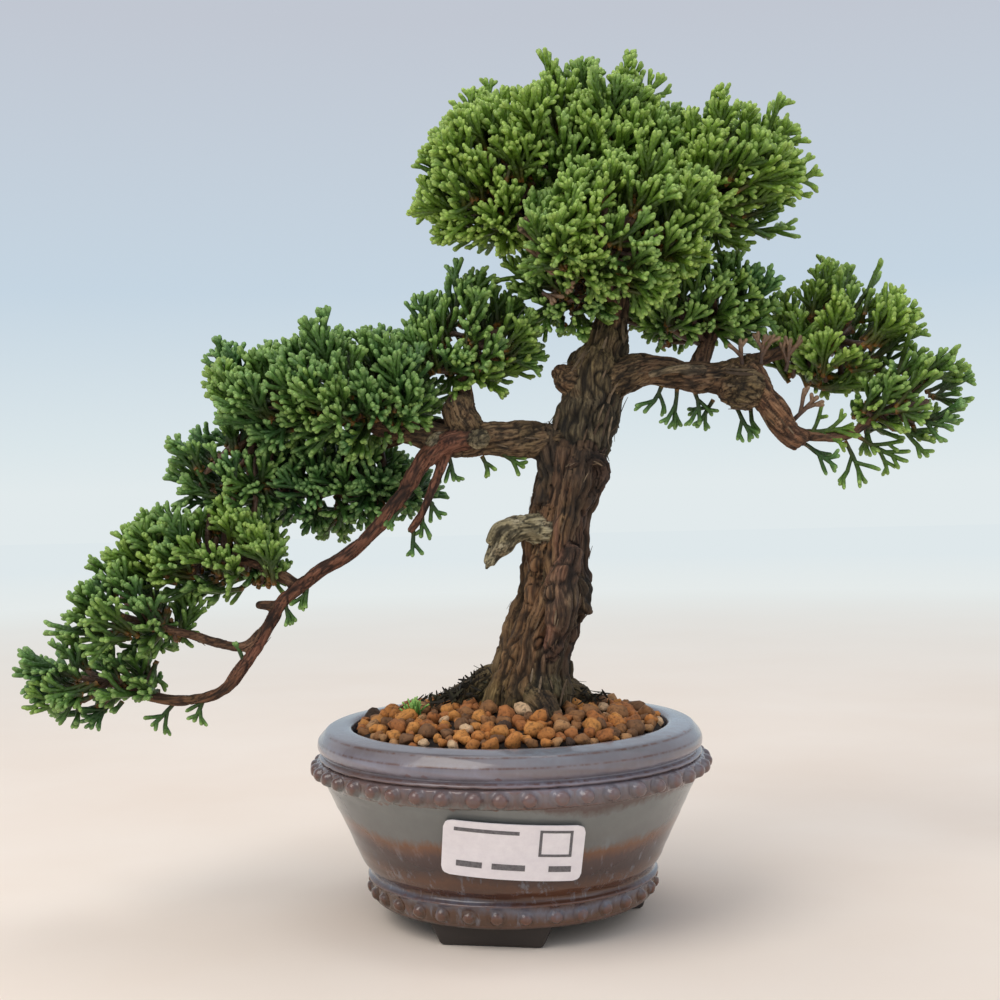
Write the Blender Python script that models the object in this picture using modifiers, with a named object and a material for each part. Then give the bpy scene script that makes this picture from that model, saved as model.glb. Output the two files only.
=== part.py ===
"""Small juniper bonsai in a round glazed stoneware pot.

The tree leans to the right out of a shallow tub of fired-clay granules. It has
a fluted trunk, a long left branch with a falling branch at its end, a short
gnarled right branch, a crown, and rounded pads of foliage. Sizes are in
millimetres below and become metres in the mesh. While it is built, the pot's
axis is the Z axis and the pot stands on Z = 0. The last step moves the whole
object so that its bounding box is centred over the origin.
"""
import math
import random

import bmesh
import bpy
from mathutils import Matrix, Vector, noise

MM = 0.001

# Driving dimensions, in millimetres
POT_BAND_R = 53.0        # pot radius at the upper bead band, without beads
POT_HEIGHT = 52.4        # floor to the inner edge of the rim
POT_FOOT_R = 38.2        # pot radius at the lower bead band, without beads
RIM_WIDTH = 9.8          # from the upper band's face in to the mouth
POT_WALL = 5.5           # wall thickness at the foot of the inside
POT_BASE_Z = 5.6         # underside of the pot's floor
POT_FLOOR = 6.0          # thickness of the pot's floor
DRAIN_R = 7.0            # drain hole in the pot's floor
BEADS_TOP = 47           # beads in the upper band
BEADS_LOW = 33           # beads in the lower band
BEAD_TURN_TOP = -92.8    # direction of the first upper bead, degrees from +X
BEAD_TURN_LOW = -96.6    # direction of the first lower bead
BEAD_R = 2.2             # bead radius
BEAD_SINK = 0.45         # depth of a bead's centre below the band's face
FEET = 3                 # block feet
FOOT_WIDTH = 33.0        # foot width across the front
FOOT_TURN = -100.5       # direction of the first foot, degrees from +X
SOIL_RISE = 5.5          # height of the mound over its edge
GRANULES = 32            # loose granules modelled one by one
GRANULE_R = 3.1          # mean granule radius
MOSS_R = 1.7             # mean radius of the moss shoot
LABEL_W = 35.5           # sticker width, along the pot
LABEL_H = 16.6           # sticker height, up the wall
LABEL_T = 0.25           # sticker thickness
LABEL_RISE = 10.0        # sticker's centre above the wall's lower fold, along the wall
LABEL_TILT = -5.0        # sticker's lean, degrees
DRAWN_HEIGHT = 52.4      # pot height that the rows of the wood and pads are drawn on
TREE_SCALE = 1.0         # thickness of the wood against its drawn radii
GAP = 0.3                # clearance between neighbouring pieces
FOLIAGE_GAP = 0.6        # clearance between foliage and wood, and pad and pad
ICO_IN = 0.795           # inner over outer radius of an icosahedron
SEED = 11

# Names, colours (linear RGB), roughness and metallic of the pieces' materials
GLAZE = ("glaze", (0.150, 0.115, 0.100), 0.30)
BARK = ("bark", (0.085, 0.055, 0.032), 0.85)
LEAF = ("foliage", (0.060, 0.115, 0.018), 0.60)
CLAY = ("clay_granules", (0.300, 0.115, 0.035), 0.90)
PAPER = ("label_paper", (0.800, 0.790, 0.800), 0.55)
MOSS = ("moss", (0.090, 0.200, 0.030), 0.80)

for old in list(bpy.data.objects):
    bpy.data.objects.remove(old, do_unlink=True)

parts = bpy.data.collections.new("juniper_bonsai")
cutters = bpy.data.collections.new("cutters")
bpy.context.scene.collection.children.link(parts)
bpy.context.scene.collection.children.link(cutters)
rng = random.Random(SEED)


def material(spec):
    name, colour, rough = spec
    mat = bpy.data.materials.get(name)
    if mat is None:
        mat = bpy.data.materials.new(name)
        mat.use_nodes = True
        bsdf = mat.node_tree.nodes["Principled BSDF"]
        bsdf.inputs["Base Color"].default_value = (*colour, 1.0)
        bsdf.inputs["Roughness"].default_value = rough
        bsdf.inputs["Metallic"].default_value = 0.0
        mat.diffuse_color = (*colour, 1.0)
    return mat


def add_object(name, mesh, spec=None, home=None):
    obj = bpy.data.objects.new(name, mesh)
    (home or parts).objects.link(obj)
    if spec:
        mesh.materials.clear()
        mesh.materials.append(material(spec))
    return obj


def to_mesh(obj, name, spec=None, home=None, weld=0.00001):
    """Turn a curve or a modified object into a plain mesh object."""
    bpy.context.view_layer.update()
    deps = bpy.context.evaluated_depsgraph_get()
    mesh = bpy.data.meshes.new_from_object(obj.evaluated_get(deps))
    place = obj.matrix_world.copy()
    bpy.data.objects.remove(obj, do_unlink=True)
    bm = bmesh.new()
    bm.from_mesh(mesh)
    bmesh.ops.transform(bm, matrix=place, verts=bm.verts)
    bmesh.ops.remove_doubles(bm, verts=bm.verts, dist=weld)
    bmesh.ops.recalc_face_normals(bm, faces=bm.faces)
    bmesh.ops.triangulate(bm, faces=bm.faces, quad_method="FIXED")
    bm.to_mesh(mesh)
    bm.free()
    mesh.name = name
    return add_object(name, mesh, spec, home)


def lathe(name, profile, steps, spec=None, home=None):
    """Turn a closed profile of (radius, height) about the Z axis."""
    mesh = bpy.data.meshes.new(name)
    verts = [(r * MM, 0.0, z * MM) for r, z in profile]
    edges = [(i, (i + 1) % len(verts)) for i in range(len(verts))]
    if profile[0][0] == 0.0 and profile[-1][0] == 0.0:
        edges.pop()
    mesh.from_pydata(verts, edges, [])
    obj = add_object(name, mesh, None, home)
    screw = obj.modifiers.new("turn", "SCREW")
    screw.steps = steps
    screw.render_steps = steps
    screw.use_merge_vertices = True
    screw.merge_threshold = 0.00001
    return to_mesh(obj, name, spec, home)


def combine(target, tools, kind):
    """Join tools to the target (UNION) or cut them from it (DIFFERENCE)."""
    for tool in tools:
        mod = target.modifiers.new(kind.lower(), "BOOLEAN")
        mod.operation = kind
        mod.solver = "EXACT"
        mod.object = tool
    bpy.context.view_layer.update()
    deps = bpy.context.evaluated_depsgraph_get()
    mesh = bpy.data.meshes.new_from_object(target.evaluated_get(deps))
    target.modifiers.clear()
    old = target.data
    mats = [m for m in old.materials]
    target.data = mesh
    mesh.materials.clear()
    for mat in mats:
        mesh.materials.append(mat)
    bpy.data.meshes.remove(old)
    bm = bmesh.new()
    bm.from_mesh(mesh)
    bmesh.ops.remove_doubles(bm, verts=bm.verts, dist=0.000002)
    bmesh.ops.dissolve_degenerate(bm, edges=bm.edges, dist=0.000002)
    bmesh.ops.triangulate(bm, faces=bm.faces)
    bm.to_mesh(mesh)
    bm.free()
    for tool in tools:
        tool.hide_render = True
        tool.display_type = "WIRE"


def drop(objs):
    for obj in objs:
        bpy.data.objects.remove(obj, do_unlink=True)


def biggest_part(obj):
    """Keep only the largest connected piece of a mesh."""
    bm = bmesh.new()
    bm.from_mesh(obj.data)
    left = set(bm.verts)
    groups = []
    while left:
        stack = [left.pop()]
        group = set(stack)
        while stack:
            vert = stack.pop()
            for edge in vert.link_edges:
                other = edge.other_vert(vert)
                if other in left:
                    left.discard(other)
                    group.add(other)
                    stack.append(other)
        groups.append(group)
    groups.sort(key=len, reverse=True)
    for group in groups[1:]:
        bmesh.ops.delete(bm, geom=list(group), context="VERTS")
    bm.to_mesh(obj.data)
    bm.free()


# The pot is one fired piece: tub, rolled rim, two bead bands, feet and a drain
# hole. The tub is turned from its profile, the beads and feet are joined on.
floor_z = POT_BASE_Z + POT_FLOOR
mouth_r = POT_BAND_R - RIM_WIDTH
lift = POT_HEIGHT - DRAWN_HEIGHT
inner_foot_r = POT_FOOT_R - POT_WALL
pot_profile = [
    (mouth_r, POT_HEIGHT - 0.5),
    (mouth_r + 0.8, POT_HEIGHT),
    (POT_BAND_R - 3.2, POT_HEIGHT - 0.9),
    (POT_BAND_R - 1.4, POT_HEIGHT - 2.2),
    (POT_BAND_R - 0.3, POT_HEIGHT - 4.6),
    (POT_BAND_R - 1.5, POT_HEIGHT - 6.8),
    (POT_BAND_R - 0.9, POT_HEIGHT - 7.6),
    (POT_BAND_R - 0.9, POT_HEIGHT - 8.4),
    (POT_BAND_R, POT_HEIGHT - 8.9),
    (POT_BAND_R, POT_HEIGHT - 12.9),
    (POT_BAND_R - 1.4, POT_HEIGHT - 13.9),
    (POT_BAND_R - 5.6, POT_HEIGHT - 22.0),
    (POT_FOOT_R + 4.4, POT_BASE_Z + 13.0),
    (POT_FOOT_R + 2.0, POT_BASE_Z + 10.2),
    (POT_FOOT_R + 0.4, POT_BASE_Z + 8.0),
    (POT_FOOT_R + 1.2, POT_BASE_Z + 6.5),
    (POT_FOOT_R + 0.3, POT_BASE_Z + 1.0),
    (POT_FOOT_R - 0.7, POT_BASE_Z),
    (DRAIN_R, POT_BASE_Z),
    (DRAIN_R, floor_z),
    (inner_foot_r - 4.0, floor_z),
    (inner_foot_r, floor_z + 3.0),
    (mouth_r - 1.0, POT_HEIGHT - 8.0),
]
pot = lathe("pot", pot_profile, 48, GLAZE)

bead_tools = []
for count, first, radius, height in (
        (BEADS_TOP, BEAD_TURN_TOP, POT_BAND_R, POT_HEIGHT - 10.9),
        (BEADS_LOW, BEAD_TURN_LOW, POT_FOOT_R + 0.7, POT_BASE_Z + 3.1)):
    mesh = bpy.data.meshes.new("beads")
    bm = bmesh.new()
    for i in range(count):
        turn = Matrix.Rotation(math.radians(first + 360.0 * i / count), 4, "Z")
        place = turn @ Matrix.Translation(((radius - BEAD_SINK) * MM, 0, height * MM))
        spin = Matrix.Rotation(math.pi / 2, 4, "Y")
        bmesh.ops.create_uvsphere(bm, u_segments=6, v_segments=4,
                                  radius=BEAD_R * MM, matrix=place @ spin)
    bm.to_mesh(mesh)
    bm.free()
    bead_tools.append(add_object("bead_ring", mesh, None, cutters))

foot_tools = []
for i in range(FEET):
    mesh = bpy.data.meshes.new("foot")
    bm = bmesh.new()
    bmesh.ops.create_cube(bm, size=1.0)
    bmesh.ops.scale(bm, vec=(8.0 * MM, FOOT_WIDTH * MM, (POT_BASE_Z + 1.0) * MM),
                    verts=bm.verts)
    for vert in bm.verts:
        if vert.co.z < 0:
            vert.co.y *= 0.82
            vert.co.x -= 0.8 * MM if vert.co.x > 0 else 0.0
    bm.to_mesh(mesh)
    bm.free()
    foot = add_object("foot_block", mesh, None, cutters)
    turn = Matrix.Rotation(math.radians(FOOT_TURN + 360.0 * i / FEET), 4, "Z")
    where = Vector(((POT_FOOT_R - 8.3) * MM, 0, (POT_BASE_Z + 1.0) / 2 * MM))
    foot.data.transform(turn @ Matrix.Translation(where))
    foot_tools.append(foot)
combine(pot, bead_tools + foot_tools, "UNION")
drop(bead_tools + foot_tools)

# The wood is one grown piece. The trunk is a lobed section carried along its
# path and twisted; roots, branches and dead stubs are tapered tubes joined on.
# Each row is x, y, z and radius.
TRUNK = [
    (3.0, 0, 42, 12.5), (3.8, 0, 48, 14.0), (4.5, 0, 54, 14.0),
    (5.8, 0, 61, 11.8), (7.5, 0, 69, 10.5), (10.5, 0, 79, 10.0),
    (13.2, 0, 87, 10.3), (13.4, 0, 95, 9.3), (14.2, 0, 106, 8.8),
    (17.0, 0, 114, 9.4), (18.6, 0, 123, 9.5), (21.0, 0, 130, 9.0),
    (24.0, 0, 138, 8.4), (25.5, 0, 146, 8.6), (28.0, 0, 153, 6.2),
    (30.5, 1, 161, 4.4), (32.0, 2, 178, 3.4), (33.0, 3, 198, 2.4),
    (33.0, 3, 212, 1.6),
]
LIMBS = {
    "root_left": [(-1, 4, 62, 6.0), (-11, 5, 57.5, 5.2), (-19, 5, 53, 3.6),
                  (-24, 5, 47, 2.4)],
    "root_right": [(12, 2, 62, 5.6), (19, 4, 57, 4.4), (24, 6, 51, 2.8)],
    "root_front": [(6, -6, 62, 5.2), (9, -13, 56, 4.0), (12, -17, 49, 2.6)],
    "root_back": [(4, 6, 62, 5.4), (0, 15, 56, 4.2), (-3, 21, 49, 2.8)],
    "jin": [(13, -3, 104, 5.5), (6, -6, 105, 4.2), (1, -7, 104.4, 3.8),
            (-1.8, -7, 101, 3.1), (-3.8, -7, 97.8, 2.2), (-5.0, -7, 95.2, 1.2)],
    "trunk_knob": [(24, -1, 143, 5.4), (17.5, -3, 146, 4.2), (14.6, -3.5, 148, 2.0)],
    "left_branch": [(20, -1, 127, 6.4), (10, -3, 128.5, 5.2), (0, -4, 129.3, 4.9),
                    (-9, -4, 129.6, 4.7), (-17, -4, 130, 4.4), (-28, -3, 133, 3.2),
                    (-45, -1, 137, 2.6), (-66, 0, 138, 1.8)],
    "left_branch_back": [(-10, -3, 131, 3.6), (-22, 8, 133, 2.4), (-46, 16, 126, 1.7)],
    "left_knot": [(-9, -5, 130, 4.6), (-12, -5, 137, 5.2), (-12, -4, 141, 3.0)],
    "left_riser": [(-10, -4, 135, 3.0), (-11, -2, 147, 2.0), (-8, 0, 158, 1.4)],
    "cascade": [(-9, -6, 130, 3.2), (-17, -8, 128, 2.9), (-24, -8, 121, 2.4),
                (-28, -8, 114.5, 2.2), (-36, -8, 105, 2.0), (-43, -8, 99, 2.0),
                (-51, -8, 94.5, 2.0), (-57, -8, 90, 1.9), (-62, -8, 85, 1.8),
                (-67, -8, 76, 1.7), (-72, -8, 69, 1.6), (-76, -8, 64, 1.6),
                (-84, -8, 61, 1.5), (-94, -7, 61, 1.4), (-108, -6, 66, 1.2)],
    "cascade_upper": [(-56, -8, 91, 1.6), (-68, -5, 97, 1.4), (-84, -3, 98, 1.1)],
    "cascade_mid": [(-66, -8, 79, 1.4), (-72, -8, 75, 1.3), (-86, -6, 78, 1.2),
                    (-98, -5, 82, 1.0)],
    "hanging_twig": [(-15, -7, 127, 1.5), (-19.5, -7, 117, 1.2), (-22, -7, 111, 1.1),
                     (-26, -7, 105, 0.9)],
    "right_branch": [(27, -1, 146, 5.6), (37, -5, 147, 4.6), (47, -7, 146, 4.2),
                     (55, -8, 145, 4.2), (64, -8, 144.5, 5.0)],
    "right_knot": [(58, -9, 142, 4.0), (64, -9, 142.5, 6.2), (68, -8, 140, 4.4)],
    "right_stub": [(65, -8, 147, 4.6), (70, -9, 139, 3.8), (76, -9, 131, 3.5),
                   (80, -9, 127.5, 2.8)],
    "right_twig": [(77, -9, 130, 1.6), (84, -8, 128.5, 1.4), (93, -7, 129, 1.3),
                   (106, -5, 136, 1.1)],
    "right_riser": [(52, -7, 145, 2.8), (56, -2, 154, 2.2), (60, 2, 163, 1.5)],
    "right_outer": [(62, -7, 147, 2.4), (74, -2, 151, 2.0), (92, 3, 156, 1.5)],
    "crown_left": [(31, 1, 165, 2.6), (20, -3, 177, 2.0), (2, -6, 192, 1.4)],
    "crown_right": [(32, 2, 174, 2.4), (44, 1, 186, 1.9), (60, 0, 197, 1.3)],
    "crown_front": [(31, 1, 163, 2.4), (28, -12, 170, 1.9), (27, -24, 180, 1.3)],
    "crown_back": [(32, 2, 180, 2.2), (34, 14, 186, 1.7), (36, 28, 192, 1.2)],
}
LOBES = 14               # corners of the trunk's fluted section
TWIST = 0.16             # turn of the flutes from one row to the next, radians


def section_curve(grow):
    """Closed fluted outline of radius 1 mm, the trunk's section."""
    curve = bpy.data.curves.new("section", "CURVE")
    curve.dimensions = "2D"
    spline = curve.splines.new("POLY")
    spline.points.add(LOBES - 1)
    for i, point in enumerate(spline.points):
        angle = 2 * math.pi * i / LOBES
        flute = 1.0 + 0.07 * (-1) ** i + 0.06 * math.cos(3 * angle + 0.7)
        radius = MM * flute * grow
        point.co = (radius * math.cos(angle), radius * math.sin(angle), 0, 1)
    spline.use_cyclic_u = True
    return add_object("section", curve, None, cutters)


def tube(name, rows, extra=0.0, fluted=False):
    """Tapered tube through the rows, with its radius grown by extra."""
    curve = bpy.data.curves.new(name, "CURVE")
    curve.dimensions = "3D"
    curve.use_fill_caps = True
    curve.twist_mode = "MINIMUM"
    section = None
    if fluted:
        section = section_curve(1.0)
        curve.bevel_mode = "OBJECT"
        curve.bevel_object = section
    else:
        curve.bevel_depth = MM
        curve.bevel_resolution = 2
    spline = curve.splines.new("POLY")
    spline.points.add(len(rows) - 1)
    ends = [Vector(row[:3]) for row in rows]
    ends[0] += (ends[0] - ends[1]).normalized() * extra
    ends[-1] += (ends[-1] - ends[-2]).normalized() * extra
    for i, (x, y, z) in enumerate(ends):
        radius = rows[i][3]
        spline.points[i].co = (x * MM, y * MM, (z + lift) * MM, 1)
        spline.points[i].radius = radius * TREE_SCALE + extra
        spline.points[i].tilt = TWIST * i if fluted else 0.0
    obj = to_mesh(add_object(name, curve, None, cutters), name, None, cutters)
    if section:
        drop([section])
    return obj


def wood(name, extra, spec=None, home=None):
    """The whole tree's wood as one closed body, grown by extra."""
    body = tube(name, TRUNK, extra, True)
    limbs = [tube(key, rows, extra) for key, rows in LIMBS.items()]
    combine(body, limbs, "UNION")
    drop(limbs)
    if spec:
        cutters.objects.unlink(body)
        parts.objects.link(body)
        body.data.materials.clear()
        body.data.materials.append(material(spec))
    return body


trunk = wood("trunk", 0.0, BARK, parts)
wood_near = wood("wood_clearance", GAP)
wood_far = wood("wood_foliage_clearance", FOLIAGE_GAP)

# The growing mix fills the tub and rises in a mound. Its top is roughly lumpy,
# with a hollow for the trunk and a dimple under each loose granule.
soil_edge_z = POT_HEIGHT - 1.6
wall_run = (mouth_r - 1.0 - inner_foot_r) / (POT_HEIGHT - 8.0 - floor_z - 3.0)
soil_rings = [0.97, 0.86, 0.72, 0.58, 0.42, 0.24]
soil_r = mouth_r - 1.0 - GAP


def mound(radius):
    """Height of the soil's smooth surface at a distance from the axis."""
    share = min(1.0, radius / soil_r)
    return soil_edge_z + SOIL_RISE * (1 - share ** 2)


soil_profile = [(0.0, mound(0))]
soil_profile += [(soil_r * s, mound(soil_r * s)) for s in reversed(soil_rings)]
soil_profile += [
    (soil_r, soil_edge_z - 0.8),
    (soil_r, POT_HEIGHT - 8.0),
    (inner_foot_r - GAP, floor_z + 3.0 + GAP),
    (inner_foot_r - 4.0 - GAP, floor_z + GAP),
    (0.0, floor_z + GAP),
]
soil = lathe("soil", soil_profile, 40, CLAY)
for vert in soil.data.vertices:
    rad = math.hypot(vert.co.x, vert.co.y) / MM
    if vert.co.z > (soil_edge_z - 0.3) * MM and rad < soil_r - 0.5:
        vert.co.z += 0.9 * MM * noise.noise(vert.co / (4.3 * MM))

moss_xy = Vector((-26.0, -7.0, 0))
granule_spots = []
tries = 0
while len(granule_spots) < GRANULES and tries < 60000:
    tries += 1
    angle = rng.uniform(0, 2 * math.pi)
    rad = (soil_r - 4.2) * math.sqrt(rng.uniform(0.12, 1.0))
    size = GRANULE_R * rng.uniform(0.8, 1.2)
    if tries > 4000:    # a crowded mouth: smaller ones fill what is left
        size *= 0.8
    x, y = rad * math.cos(angle), rad * math.sin(angle)
    spot = Vector((x, y, mound(rad) + size * 0.55))
    clear = all((spot - other).length > size + old + 2 * GAP
                for other, old in granule_spots)
    if math.hypot(x - moss_xy.x, y - moss_xy.y) < size + MOSS_R * 1.5:
        clear = False
    for rows in [TRUNK[:4]] + [LIMBS[k] for k in LIMBS if k.startswith("root")]:
        for a, b in zip(rows, rows[1:]):
            for step in range(5):
                part = step / 4
                node = Vector(a[:3]).lerp(Vector(b[:3]), part) + Vector((0, 0, lift))
                wide = (a[3] + (b[3] - a[3]) * part) * 1.15 * TREE_SCALE
                if (spot - node).length < wide + size + 3 * GAP:
                    clear = False
    if clear:
        granule_spots.append((spot, size))

dimples = []
for i, (spot, size) in enumerate(granule_spots):
    mesh = bpy.data.meshes.new("granule")
    bm = bmesh.new()
    bmesh.ops.create_icosphere(bm, subdivisions=1, radius=1.0)
    squash = Vector((rng.uniform(0.8, 0.98), rng.uniform(0.7, 0.95), rng.uniform(0.62, 0.85)))
    for vert in bm.verts:
        vert.co *= rng.uniform(0.9, 1.0)
        vert.co = Vector((vert.co.x * squash.x, vert.co.y * squash.y, vert.co.z * squash.z))
    turn = Matrix.Rotation(rng.uniform(0, 3.14), 4, "Z")
    turn = turn @ Matrix.Rotation(rng.uniform(-0.4, 0.4), 4, "X")
    bmesh.ops.transform(bm, matrix=turn, verts=bm.verts)
    bmesh.ops.scale(bm, vec=(size * MM,) * 3, verts=bm.verts)
    bmesh.ops.translate(bm, vec=spot * MM, verts=bm.verts)
    bm.to_mesh(mesh)
    bm.free()
    add_object("granule_%02d" % (i + 1), mesh, CLAY)
    tool = bpy.data.meshes.new("dimple")
    bm = bmesh.new()
    bmesh.ops.create_icosphere(bm, subdivisions=1, radius=(size + GAP) / ICO_IN * MM,
                               matrix=Matrix.Translation(spot * MM))
    bm.to_mesh(tool)
    bm.free()
    dimples.append(add_object("dimple", tool, None, cutters))
combine(soil, [wood_near] + dimples, "DIFFERENCE")
drop(dimples)
biggest_part(soil)

# A small moss shoot stands in the granules at the left.
mesh = bpy.data.meshes.new("moss_shoot")
bm = bmesh.new()
bmesh.ops.create_icosphere(bm, subdivisions=2, radius=1.0)
for vert in bm.verts:
    vert.co *= 1.0 + 0.35 * noise.noise(vert.co * 2.1 + Vector((3, 1, 7)))
    vert.co.z *= 1.5
bmesh.ops.scale(bm, vec=(MOSS_R * MM,) * 3, verts=bm.verts)
low = min(v.co.z for v in bm.verts)
rise = (mound(moss_xy.length) + 1.2) * MM - low
bmesh.ops.translate(bm, vec=Vector((moss_xy.x * MM, moss_xy.y * MM, rise)), verts=bm.verts)
bm.to_mesh(mesh)
bm.free()
moss = add_object("moss_shoot", mesh, MOSS)

# The foliage is in soft pads, each a lumpy closed mass about its own twigs.
# Each row is the centre x, y, z and the half sizes along x, y, z.
PADS = {
    "crown_top": (24, 3, 208, 31, 28, 25),
    "crown_left": (-2, -8, 196, 21, 22, 22),
    "crown_right": (58, 0, 200, 24, 25, 18),
    "crown_front": (30, -25, 182, 27, 16, 20),
    "crown_back": (33, 29, 188, 29, 16, 22),
    "crown_low": (19, -6, 168, 14, 13, 14),
    "right_inner": (57, 2, 165, 22, 22, 14),
    "right_outer": (93, 4, 156, 21, 20, 18),
    "right_tip": (110, -5, 138, 17, 15, 16),
    "left_inner": (-9, -1, 156, 21, 20, 17),
    "left_main": (-47, -2, 143, 34, 26, 18),
    "left_back": (-50, 14, 118, 28, 20, 15),
    "left_outer": (-75, -3, 123, 15, 16, 15),
    "cascade_upper": (-81, -3, 101, 25, 18, 15),
    "cascade_mid": (-103, -5, 84, 18, 16, 14),
    "cascade_tip": (-112, -6, 66, 19, 15, 12),
}


def pad_mesh(row, extra):
    cx, cy, cz, rx, ry, rz = row
    mesh = bpy.data.meshes.new("pad")
    bm = bmesh.new()
    bmesh.ops.create_icosphere(bm, subdivisions=3, radius=1.0)
    for vert in bm.verts:
        way = vert.co.normalized()
        lump = noise.noise(way * 2.3 + Vector((cx, cy, cz)) * 0.37)
        fine = noise.noise(way * 5.5 + Vector((cz, cx, cy)) * 0.21)
        reach = 1.0 + 0.22 * lump + 0.16 * fine
        vert.co = Vector(((cx + way.x * (rx * reach + extra)) * MM,
                          (cy + way.y * (ry * reach + extra)) * MM,
                          (cz + lift + way.z * (rz * reach + extra)) * MM))
    bmesh.ops.recalc_face_normals(bm, faces=bm.faces)
    bm.to_mesh(mesh)
    bm.free()
    return mesh


placed = []
for name, row in PADS.items():
    pad = add_object("foliage_" + name, pad_mesh(row, 0.0), LEAF)
    near = []
    for other in placed:
        apart = Vector(row[:3]) - Vector(other[:3])
        if all(abs(apart[k]) < (row[3 + k] + other[3 + k]) * 1.3 for k in range(3)):
            near.append(add_object("pad_room", pad_mesh(other, FOLIAGE_GAP), None, cutters))
    combine(pad, near + [wood_far], "DIFFERENCE")
    drop(near)
    biggest_part(pad)
    placed.append(row)

# The paper sticker follows the tapered front wall, just clear of the glaze.
label_wall = [Vector(p) for p in pot_profile[13:9:-1]]


def wall_at(run):
    """Point of the pot's outer profile at a run above the wall's lower fold."""
    run += (label_wall[1] - label_wall[0]).length
    for a, b in zip(label_wall, label_wall[1:]):
        length = (b - a).length
        if run <= length:
            return a.lerp(b, run / length)
        run -= length
    return label_wall[-1]


mesh = bpy.data.meshes.new("label")
bm = bmesh.new()
corner = 2.2
spread_u = [0.0, 0.7, corner] + [corner + (LABEL_W - 2 * corner) * k / 12 for k in range(1, 12)]
spread_u += [LABEL_W - corner, LABEL_W - 0.7, LABEL_W]
spread_v = [0.0, 0.7, corner, LABEL_H / 2, LABEL_H - corner, LABEL_H - 0.7, LABEL_H]
cols, rows = len(spread_u) - 1, len(spread_v) - 1
grid = []
for j in range(rows + 1):
    line = []
    for i in range(cols + 1):
        u = spread_u[i] - LABEL_W / 2
        v = spread_v[j] - LABEL_H / 2
        over_u = abs(u) - (LABEL_W / 2 - corner)
        over_v = abs(v) - (LABEL_H / 2 - corner)
        if over_u > 0.01 and over_v > 0.01:
            inward = 1 - max(over_u, over_v) / math.hypot(over_u, over_v)
            u -= math.copysign(over_u * inward, u)
            v -= math.copysign(over_v * inward, v)
        line.append((u, v))
    grid.append(line)
tilt = math.radians(LABEL_TILT)
for line in grid:
    for k, (u, v) in enumerate(line):
        ut = u * math.cos(tilt) - v * math.sin(tilt)
        vt = u * math.sin(tilt) + v * math.cos(tilt)
        base = wall_at(vt + LABEL_RISE)
        radius = base.x + GAP * 1.6
        turn = ut / radius
        line[k] = bm.verts.new((radius * math.sin(turn) * MM, -radius * math.cos(turn) * MM,
                                (base.y - GAP * 0.5) * MM))
for j in range(rows):
    for i in range(cols):
        bm.faces.new((grid[j][i], grid[j][i + 1], grid[j + 1][i + 1], grid[j + 1][i]))
bm.to_mesh(mesh)
bm.free()
label = add_object("label", mesh, PAPER)
thick = label.modifiers.new("thick", "SOLIDIFY")
thick.thickness = LABEL_T * MM
thick.offset = 1.0
label = to_mesh(label, "label_done", PAPER)
label.name = "label"

drop([wood_near, wood_far])

# Move the object so that its bounding box is centred over the origin.
low = Vector((1e9, 1e9, 1e9))
high = -low
for obj in parts.objects:
    for vert in obj.data.vertices:
        for k in range(3):
            low[k] = min(low[k], vert.co[k])
            high[k] = max(high[k], vert.co[k])
shift = Vector((-(low.x + high.x) / 2, -(low.y + high.y) / 2, -low.z))
for obj in parts.objects:
    obj.data.transform(Matrix.Translation(shift))
    obj.data.polygons.foreach_set("use_smooth", [True] * len(obj.data.polygons))
    obj.data.set_sharp_from_angle(angle=math.radians(38))
    obj.data.update()
print("box mm", [round(v / MM, 2) for v in (*(low + shift), *(high + shift))])
print("pot axis mm", round(shift.x / MM, 3), round(shift.y / MM, 3))
for obj in parts.objects:
    print(obj.name, sum(len(p.vertices) - 2 for p in obj.data.polygons))
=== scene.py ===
"""A small juniper bonsai in a round glazed stoneware pot."""
import math
import random

import bmesh
import bpy
import numpy as np
from mathutils import Matrix, Vector, noise
from mathutils.bvhtree import BVHTree


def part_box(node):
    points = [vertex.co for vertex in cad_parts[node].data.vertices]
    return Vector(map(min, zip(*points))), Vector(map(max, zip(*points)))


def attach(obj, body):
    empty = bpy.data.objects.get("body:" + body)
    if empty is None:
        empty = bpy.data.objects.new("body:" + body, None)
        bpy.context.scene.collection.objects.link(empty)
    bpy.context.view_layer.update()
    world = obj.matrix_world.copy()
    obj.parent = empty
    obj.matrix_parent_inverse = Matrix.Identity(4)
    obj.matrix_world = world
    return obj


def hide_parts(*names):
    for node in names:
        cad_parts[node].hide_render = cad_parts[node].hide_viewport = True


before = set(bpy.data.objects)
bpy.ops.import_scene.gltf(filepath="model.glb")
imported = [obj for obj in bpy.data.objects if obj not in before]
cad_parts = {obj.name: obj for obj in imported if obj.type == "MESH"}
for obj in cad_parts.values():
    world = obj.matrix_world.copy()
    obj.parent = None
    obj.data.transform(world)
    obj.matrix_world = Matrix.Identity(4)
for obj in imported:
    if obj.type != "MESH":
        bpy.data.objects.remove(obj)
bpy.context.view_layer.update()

# Stand and studio: a pale floor under a soft bright sky, a large soft light
# high on the left, a weaker one on the right and one above for the crown.
MM = 0.001
pot_low, pot_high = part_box("pot")
AXIS = Vector(((pot_low[0] + pot_high[0]) / 2, (pot_low[1] + pot_high[1]) / 2, 0.0))


def tone(hex_colour):
    """Linear colour of an sRGB hex value."""
    parts = [int(hex_colour[k:k + 2], 16) / 255 for k in (0, 2, 4)]
    return [c / 12.92 if c <= 0.04045 else ((c + 0.055) / 1.055) ** 2.4 for c in parts] + [1.0]


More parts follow.
